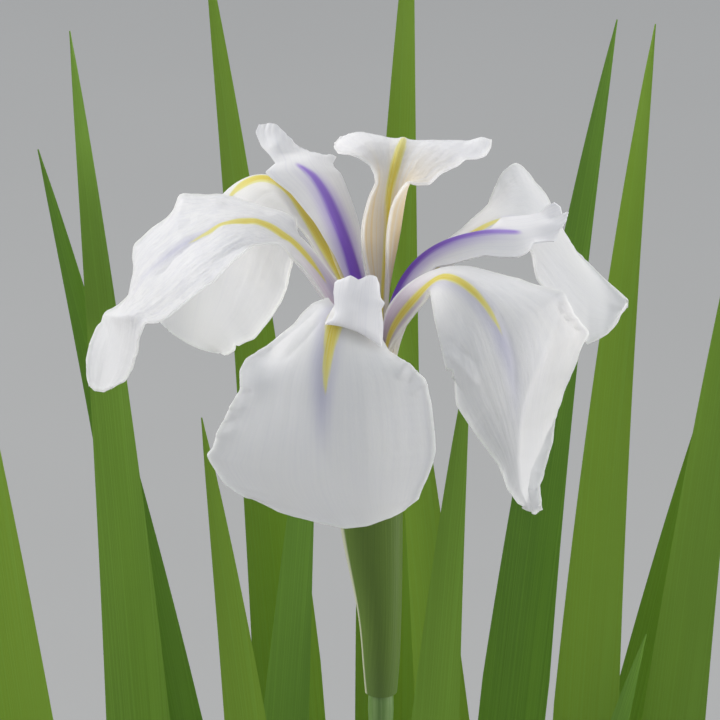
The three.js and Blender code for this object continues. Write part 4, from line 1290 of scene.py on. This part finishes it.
def petal_finish(name, seed, signal, flush, claw_end, crepe, claw_colour):
    """signal and flush are stops, claw_end is a share along, crepe is how deep the fine wrinkles and their
    painted shade are.
    """
    shader, place = finish(name, roughness=0.5, specular=0.35)
    along, across, rib = (ruler(shader, noted) for noted in ("along", "across", "rib"))
    fine = streaks(along, across, seed, 38.0, 2.2)
    colour = blend(grain(place, 60.0), WHITE, WARM_WHITE)
    colour = blend(between(fine, 0.42, 0.7, 0.0, 0.065), colour, VEIN)
    colour = blend(times(fan_veins(along, across, seed), 0.035), colour, VEIN)
    wrinkles = streaks(along, across, seed + 5, 18.0, 28.0)
    calm = between(along, 0.72, 0.84, 1.0, 0.2)
    # Painted shade: the hollows of the fine wrinkles are darkened towards the vein colour, more with more
    # crepe.
    colour = blend(times(between(wrinkles, 0.56, 0.4, 0.0, 0.008 * crepe), calm), colour, VEIN)
    claw = between(along, claw_end, claw_end * 0.35)
    colour = clawed(colour, along, across, seed, claw, 0.4, claw_colour)
    feather = times(streaks(along, across, seed, 26.0, 5.0), 1.2, -0.6)
    beside_rib = line_mask(along, minus(size_of(rib, 0.6), feather), flush, 2.4)
    ending = between(along, flush[-1][0], flush[-1][0] - 0.22, 0.0, 0.48)
    colour = blend(times(beside_rib, ending), colour, FLUSH)
    spread = minus(size_of(rib), feather)
    colour = blend(line_mask(along, spread, signal, 0.3), colour, PALE_SIGNAL)
    lines = between(streaks(along, across, seed + 4, 60.0, 1.5), *SOFT_LINES, 0.45, 1.0)
    faded = between(along, signal[-1][0], signal[-1][0] - 0.2)
    centre = line_mask(along, times(spread, 1.5), signal, 0.5)
    colour = blend(times(times(centre, lines), faded), colour, SIGNAL)
    rim = rim_of(shader)
    # Painted highlight: the rim is whitened as if its rolled edge caught the light.
    colour = blend(rim, colour, RIM_HIGHLIGHT)
    crumples = times(grain(place, 420.0), 1.2, wrinkles)
    rough = times(crumples, times(calm, crepe), grain(place, PAPILLAE, 2.0))
    laid_on(shader, colour, times(fine, -0.45, rough), 0.05, 0.6, times(rim, RIM_THROUGH, PETAL_THROUGH))


def underside_finish(name, seed, claw_colour):
    shader, place = finish(name, roughness=0.55, specular=0.3)
    along, across = ruler(shader, "along"), ruler(shader, "across")
    veins = fan_veins(along, across, seed)
    colour = blend(grain(place, 70.0), UNDER_WHITE, UNDER_WARM)
    colour = blend(times(veins, 0.12), colour, UNDER_VEIN)
    colour = clawed(colour, along, across, seed, between(along, 0.46, 0.12), 0.3, claw_colour)
    rim = rim_of(shader)
    # Painted highlight on the rim of the underside, a little weaker.
    colour = blend(times(rim, 0.7), colour, RIM_HIGHLIGHT)
    height = times(veins, 0.8, grain(place, PAPILLAE, 2.0))
    laid_on(shader, colour, height, 0.08, 0.5, times(rim, RIM_THROUGH, PETAL_THROUGH))


# %% Finish the petals
# Each petal: stops of the signal, stops of the flush, then the end of the claw and the depth of the crepe.
PETAL_MARKS = tables("""
fall_front
0 0.8, 0.3 1.5, 0.39 1.9, 0.46 1.3, 0.54 0.7, 0.6 0
0.38 2.4, 0.5 2.5, 0.6 1.7, 0.7 0.9, 0.79 0
0.3 2
fall_right
0 0.8, 0.3 1.3, 0.38 1.3, 0.46 0.6, 0.5 0
0.4 1.2, 0.6 0.4, 0.66 0
0.3 5
fall_left
0.12 1.2, 0.25 2.1, 0.45 2.2, 0.54 1.7, 0.64 0
0 3, 0.3 2, 0.5 0.6, 0.6 0
0.34 3
standard_left
0.16 0, 0.22 1, 0.32 1.6, 0.38 1.9, 0.45 1.5, 0.51 0.5, 0.55 0
0.46 0.9, 0.6 0.7, 0.76 0
0.3 18
standard_right
0.06 0.8, 0.2 1.2, 0.3 1.1, 0.42 1.1, 0.5 0.6, 0.54 0.25, 0.57 0
0.4 1.6, 0.58 1.4, 0.7 0.8, 0.78 0
0.3 5
standard_back
0.1 0.5, 0.3 0.7, 0.45 1.2, 0.54 1.1, 0.62 0
0 1.6, 0.3 1, 0.4 0
0.62 9
""")
for number, (petal, (signal, flush, ((claw_end, crepe),))) in enumerate(PETAL_MARKS.items()):
    seed = number * 3.7
    tan = petal == "standard_back"
    petal_finish("white_" + petal, seed, signal, flush, claw_end, crepe, TAN_CLAW if tan else CLAW)
    underside_finish("under_" + petal, seed, TAN_CLAW if tan else UNDER_CLAW)
    wear([petal], "white_" + petal, "under_" + petal)
print("petal finishes:", len(PETAL_MARKS))

# %% [markdown]
# The style arms are the most coloured part of the flower. A violet band follows the keel of the left and
# right arms, deep at the foot and fading to lilac before the crest, with the rest pale and faintly veined.

# %% Style finish
KEEL = (0.25, 0.1, 0.6)
LILAC = (0.44, 0.3, 0.76)
ARM_WHITE = (0.89, 0.88, 0.87)
ARM_FOOT = (0.66, 0.58, 0.74)
STYLE_THROUGH = 0.42
HAZE = 1.7
KEELS = tables("""
style_front
0 0.8, 0.4 0.4, 0.6 0
style_left
0 1.4, 0.2 1.2, 0.5 0.8, 0.62 0.55, 0.72 0
style_right
0 1.4, 0.2 1.2, 0.5 0.75, 0.66 0.4, 0.72 0
no_keel
0 0, 1 0
""")
KEEL_STRENGTHS = {"style_front": 0.3, "style_left": 1.0, "style_right": 1.0}
KEEL_HOOKS = {"style_front": 0.0, "style_left": -1.4, "style_right": 0.0}


def style_finish(name, seed, keel, strength, hook):
    """keel gives the stops of the band; hook is how many mm it leaves the midrib by at its end."""
    shader, place = finish(name, roughness=0.48, specular=0.4)
    along, across = ruler(shader, "along"), ruler(shader, "across")
    veins = streaks(along, across, seed, 16.0, 2.2)
    colour = blend(grain(place, 70.0), WHITE, ARM_WHITE)
    colour = blend(between(veins, 0.42, 0.7, 0.0, 0.16), colour, VEIN)
    colour = blend(between(along, 0.5, 0.0, 0.0, 0.35), colour, ARM_FOOT)
    feather = times(streaks(along, across, seed, 14.0, 8.0, roughness=0.5), 0.7)
    off_rib = size_of(ruler(shader, "rib"), between(along, 0.6, 0.72, 0.0, hook))
    spread = minus(off_rib, feather)
    around = [(share, width + HAZE if width else 0) for share, width in keel]
    ending = between(along, keel[-1][0], keel[-1][0] - 0.3, 0.0, 0.5 * strength)
    colour = blend(times(line_mask(along, spread, around, 1.8), ending), colour, LILAC)
    violet = blend(between(along, 0.2, 0.75), KEEL, LILAC)
    colour = blend(times(line_mask(along, spread, keel, 0.7), strength), colour, violet)
    laid_on(shader, colour, times(veins, -0.6, grain(place, PAPILLAE, 2.0)), 0.06, 0.5, STYLE_THROUGH)


for seed, style in enumerate(STYLES, 20):
    style_finish("arm_white_" + style, seed, KEELS[style][0], KEEL_STRENGTHS[style], KEEL_HOOKS[style])
    style_finish("arm_under_" + style, seed, KEELS["no_keel"][0], 0.0, 0.0)
    wear([style], "arm_white_" + style, "arm_under_" + style)
print("style finishes:", len(STYLES))

# %% [markdown]
# Leaves and sheaths share one recipe: fine parallel veins along the length, patches of lighter and darker
# green and paler tissue towards the foot; the sheaths have a thin pale margin too. Stem, pollen, clay and
# soil follow, each from noise at two or three scales in the piece's own coordinates.

# %% Green finishes
LEAF_GREENS = (0.07, 0.18, 0.015), (0.2, 0.38, 0.04), (0.3, 0.34, 0.12)
YELLOW_GREEN = (0.23, 0.37, 0.02)
STEM_LEAF_GREENS = (0.05, 0.13, 0.02), (0.13, 0.26, 0.05), (0.2, 0.28, 0.1)
STEM_LEAF_MARGIN = (0.4, 0.45, 0.25)
SPATHE_GREENS = (0.065, 0.13, 0.014), (0.13, 0.21, 0.03), (0.1, 0.17, 0.03)
SPATHE_MARGIN = (0.55, 0.56, 0.4)
LEAF_THROUGH = 0.12


def green_finish(name, greens, veins, margin=None, tinted=None):
    """greens are dark, light and foot; tinted is the green that some leaves lean to."""
    shader, place = finish(name, roughness=0.42, specular=0.4)
    along = ruler(shader, "along")
    dark, light, foot = greens
    lines = streaks(along, ruler(shader, "rib"), 0.0, veins, 3.0, 2.0, 0.5)
    colour = blend(grain(stretched(place, 1, 0.25), 45.0), dark, light)
    if tinted:
        colour = blend(times(ruler(shader, "tint"), 0.7), colour, tinted)
    colour = blend(between(lines, 0.4, 0.7, 0.0, 0.45), colour, light)
    colour = blend(between(along, 0.22, 0.0), colour, foot)
    if margin:
        colour = blend(between(ruler(shader, "edge"), 1.4, 0.6), colour, margin)
    laid_on(shader, colour, lines, 0.12, 0.6, LEAF_THROUGH)


green_finish("leaf_green", LEAF_GREENS, 2.4, tinted=YELLOW_GREEN)
green_finish("stem_leaf_green", STEM_LEAF_GREENS, 2.4, STEM_LEAF_MARGIN)
green_finish("spathe_green", SPATHE_GREENS, 3.0, SPATHE_MARGIN)
wear(leaf_names, "leaf_green")
wear(["stem_leaf"], "stem_leaf_green", "stem_leaf_green")
wear(["spathe_inner", "spathe_outer"], "spathe_green", "spathe_green")
print("leaf pieces finished:", len(leaf_names))

# %% Stem and pollen finishes
STEM_GREENS = (0.07, 0.15, 0.03), (0.14, 0.24, 0.06)
STEM_LINES = (0.22, 0.32, 0.12)
POLLEN = (0.62, 0.5, 0.16), (0.86, 0.8, 0.52)
shader, place = finish("stem_green", roughness=0.45, specular=0.4)
lines = grain(stretched(place, 1, 0.03), 1400.0, 2.0)
colour = blend(grain(stretched(place, 1, 0.2), 60.0), *STEM_GREENS)
colour = blend(between(lines, 0.4, 0.7, 0.0, 0.4), colour, STEM_LINES)
laid_on(shader, colour, lines, 0.1, 0.5)
wear(["stem", "ovary"], "stem_green")
shader, place = finish("pollen", roughness=0.85, specular=0.2)
dust = grain(place, 2600.0, 4.0, 0.7)
laid_on(shader, blend(dust, *POLLEN), dust, 0.15, 0.9)
wear(STAMENS, "pollen")
print("stamens finished:", len(STAMENS))

# %% Clay and soil finishes
CLAY = (0.36, 0.13, 0.06), (0.5, 0.22, 0.115)
CLAY_BANDS = (0.56, 0.28, 0.16)
CLAY_SPECKS = (0.26, 0.09, 0.045)
LIME = (0.6, 0.45, 0.36)
LOAM = (0.016, 0.01, 0.007), (0.085, 0.055, 0.035)
WET_LOAM = (0.02, 0.014, 0.01)
shader, place = finish("fired_clay", roughness=0.85, specular=0.25)
bands = grain(stretched(place, 0.1, 1), 160.0)
specks = grain(place, 900.0, 3.0, 0.6)
colour = blend(grain(place, 18.0, 5.0, 0.6), *CLAY)
colour = blend(between(bands, 0.42, 0.62, 0.0, 0.35), colour, CLAY_BANDS)
colour = blend(between(specks, 0.56, 0.66, 0.0, 0.5), colour, CLAY_SPECKS)
higher = between(put(place.id_data, "SeparateXYZ", {0: place}, "Z"), 0.02, 0.15, 0.3, 0.7)
colour = blend(times(between(grain(place, 24.0, 7.0, 0.7), 0.48, 0.78), higher), colour, LIME)
laid_on(shader, colour, times(bands, 0.7, specks), 0.25, 0.6)
wear(["pot"], "fired_clay")
shader, place = finish("wet_loam", roughness=0.55, specular=0.5)
crumbs = grain(place, 220.0, 6.0, 0.65)
wet = grain(place, 25.0, 3.0)
colour = blend(between(crumbs, 0.35, 0.7), *LOAM)
colour = blend(between(wet, 0.45, 0.6, 0.0, 0.6), colour, WET_LOAM)
shader.id_data.links.new(between(wet, 0.4, 0.6, 0.85, 0.5), shader.inputs["Roughness"])
laid_on(shader, colour, crumbs, 1.4, 0.9)
wear(["soil"], "wet_loam")
print("finishes:", len(FINISHES))

# %% [markdown]
# The flower is set against a plain pale floor. Most light comes from a bright even surround, as under an
# open sky, so white petals stay white. One soft light on the left models the falls, and weaker ones behind
# and on the right shine through the thin tissue. The camera looks down by the viewer's own tilt.

# %% Floor and light
FLOOR_GREYS = (0.3, 0.3, 0.295), (0.33, 0.33, 0.325)
SKY = (0.82, 0.85, 0.9, 1)
SKY_STRENGTH = 0.97
WARM_LIGHT = (1, 0.98, 0.95)
LIGHT_SIZE = 0.6
FLOOR_SIZE = 12
LIGHTS = {"left": ((-2, 0.3, 1.3), 30), "back": ((0, 1.4, 1.9), 12), "right": ((2, 0, 0.45), 21)}


def aim(thing, target):
    thing.rotation_euler = (target - thing.location).to_track_quat("-Z", "Y").to_euler()


begin()
bpy.ops.mesh.primitive_plane_add(size=FLOOR_SIZE)
floor = added("floor")
shader, place = finish("floor_grey", roughness=0.9, specular=0.2)
shader.id_data.links.new(blend(grain(place, 3.0), *FLOOR_GREYS), shader.inputs["Base Color"])
floor.data.materials.append(FINISHES["floor_grey"])
for name, (place, power) in LIGHTS.items():
    begin()
    bpy.ops.object.light_add(type="AREA", location=place)
    lamp = added(name)
    lamp.data.shape = "DISK"
    lamp.data.size = LIGHT_SIZE
    lamp.data.energy = power
    lamp.data.color = WARM_LIGHT
    aim(lamp, HEART * MM)
world = bpy.data.worlds.new("studio")
world.use_nodes = True
sky = world.node_tree.nodes["Background"]
sky.inputs[0].default_value = SKY
sky.inputs[1].default_value = SKY_STRENGTH
bpy.context.scene.world = world
bpy.context.scene.view_settings.view_transform = "Standard"

# %% Camera
PICTURE_WIDTH = 167.4
SENSOR = 36
CAMERA_DISTANCE = 1500
PICTURE_CENTRE = (-6.5, -3.5)
begin()
bpy.ops.object.camera_add()
camera = added("camera")
camera.location = seen(*PICTURE_CENTRE, CAMERA_DISTANCE) * MM
aim(camera, seen(*PICTURE_CENTRE, 0) * MM)
camera.data.sensor_width = SENSOR
camera.data.lens = SENSOR * CAMERA_DISTANCE / PICTURE_WIDTH
camera.data.clip_end = 30
bpy.context.scene.camera = camera
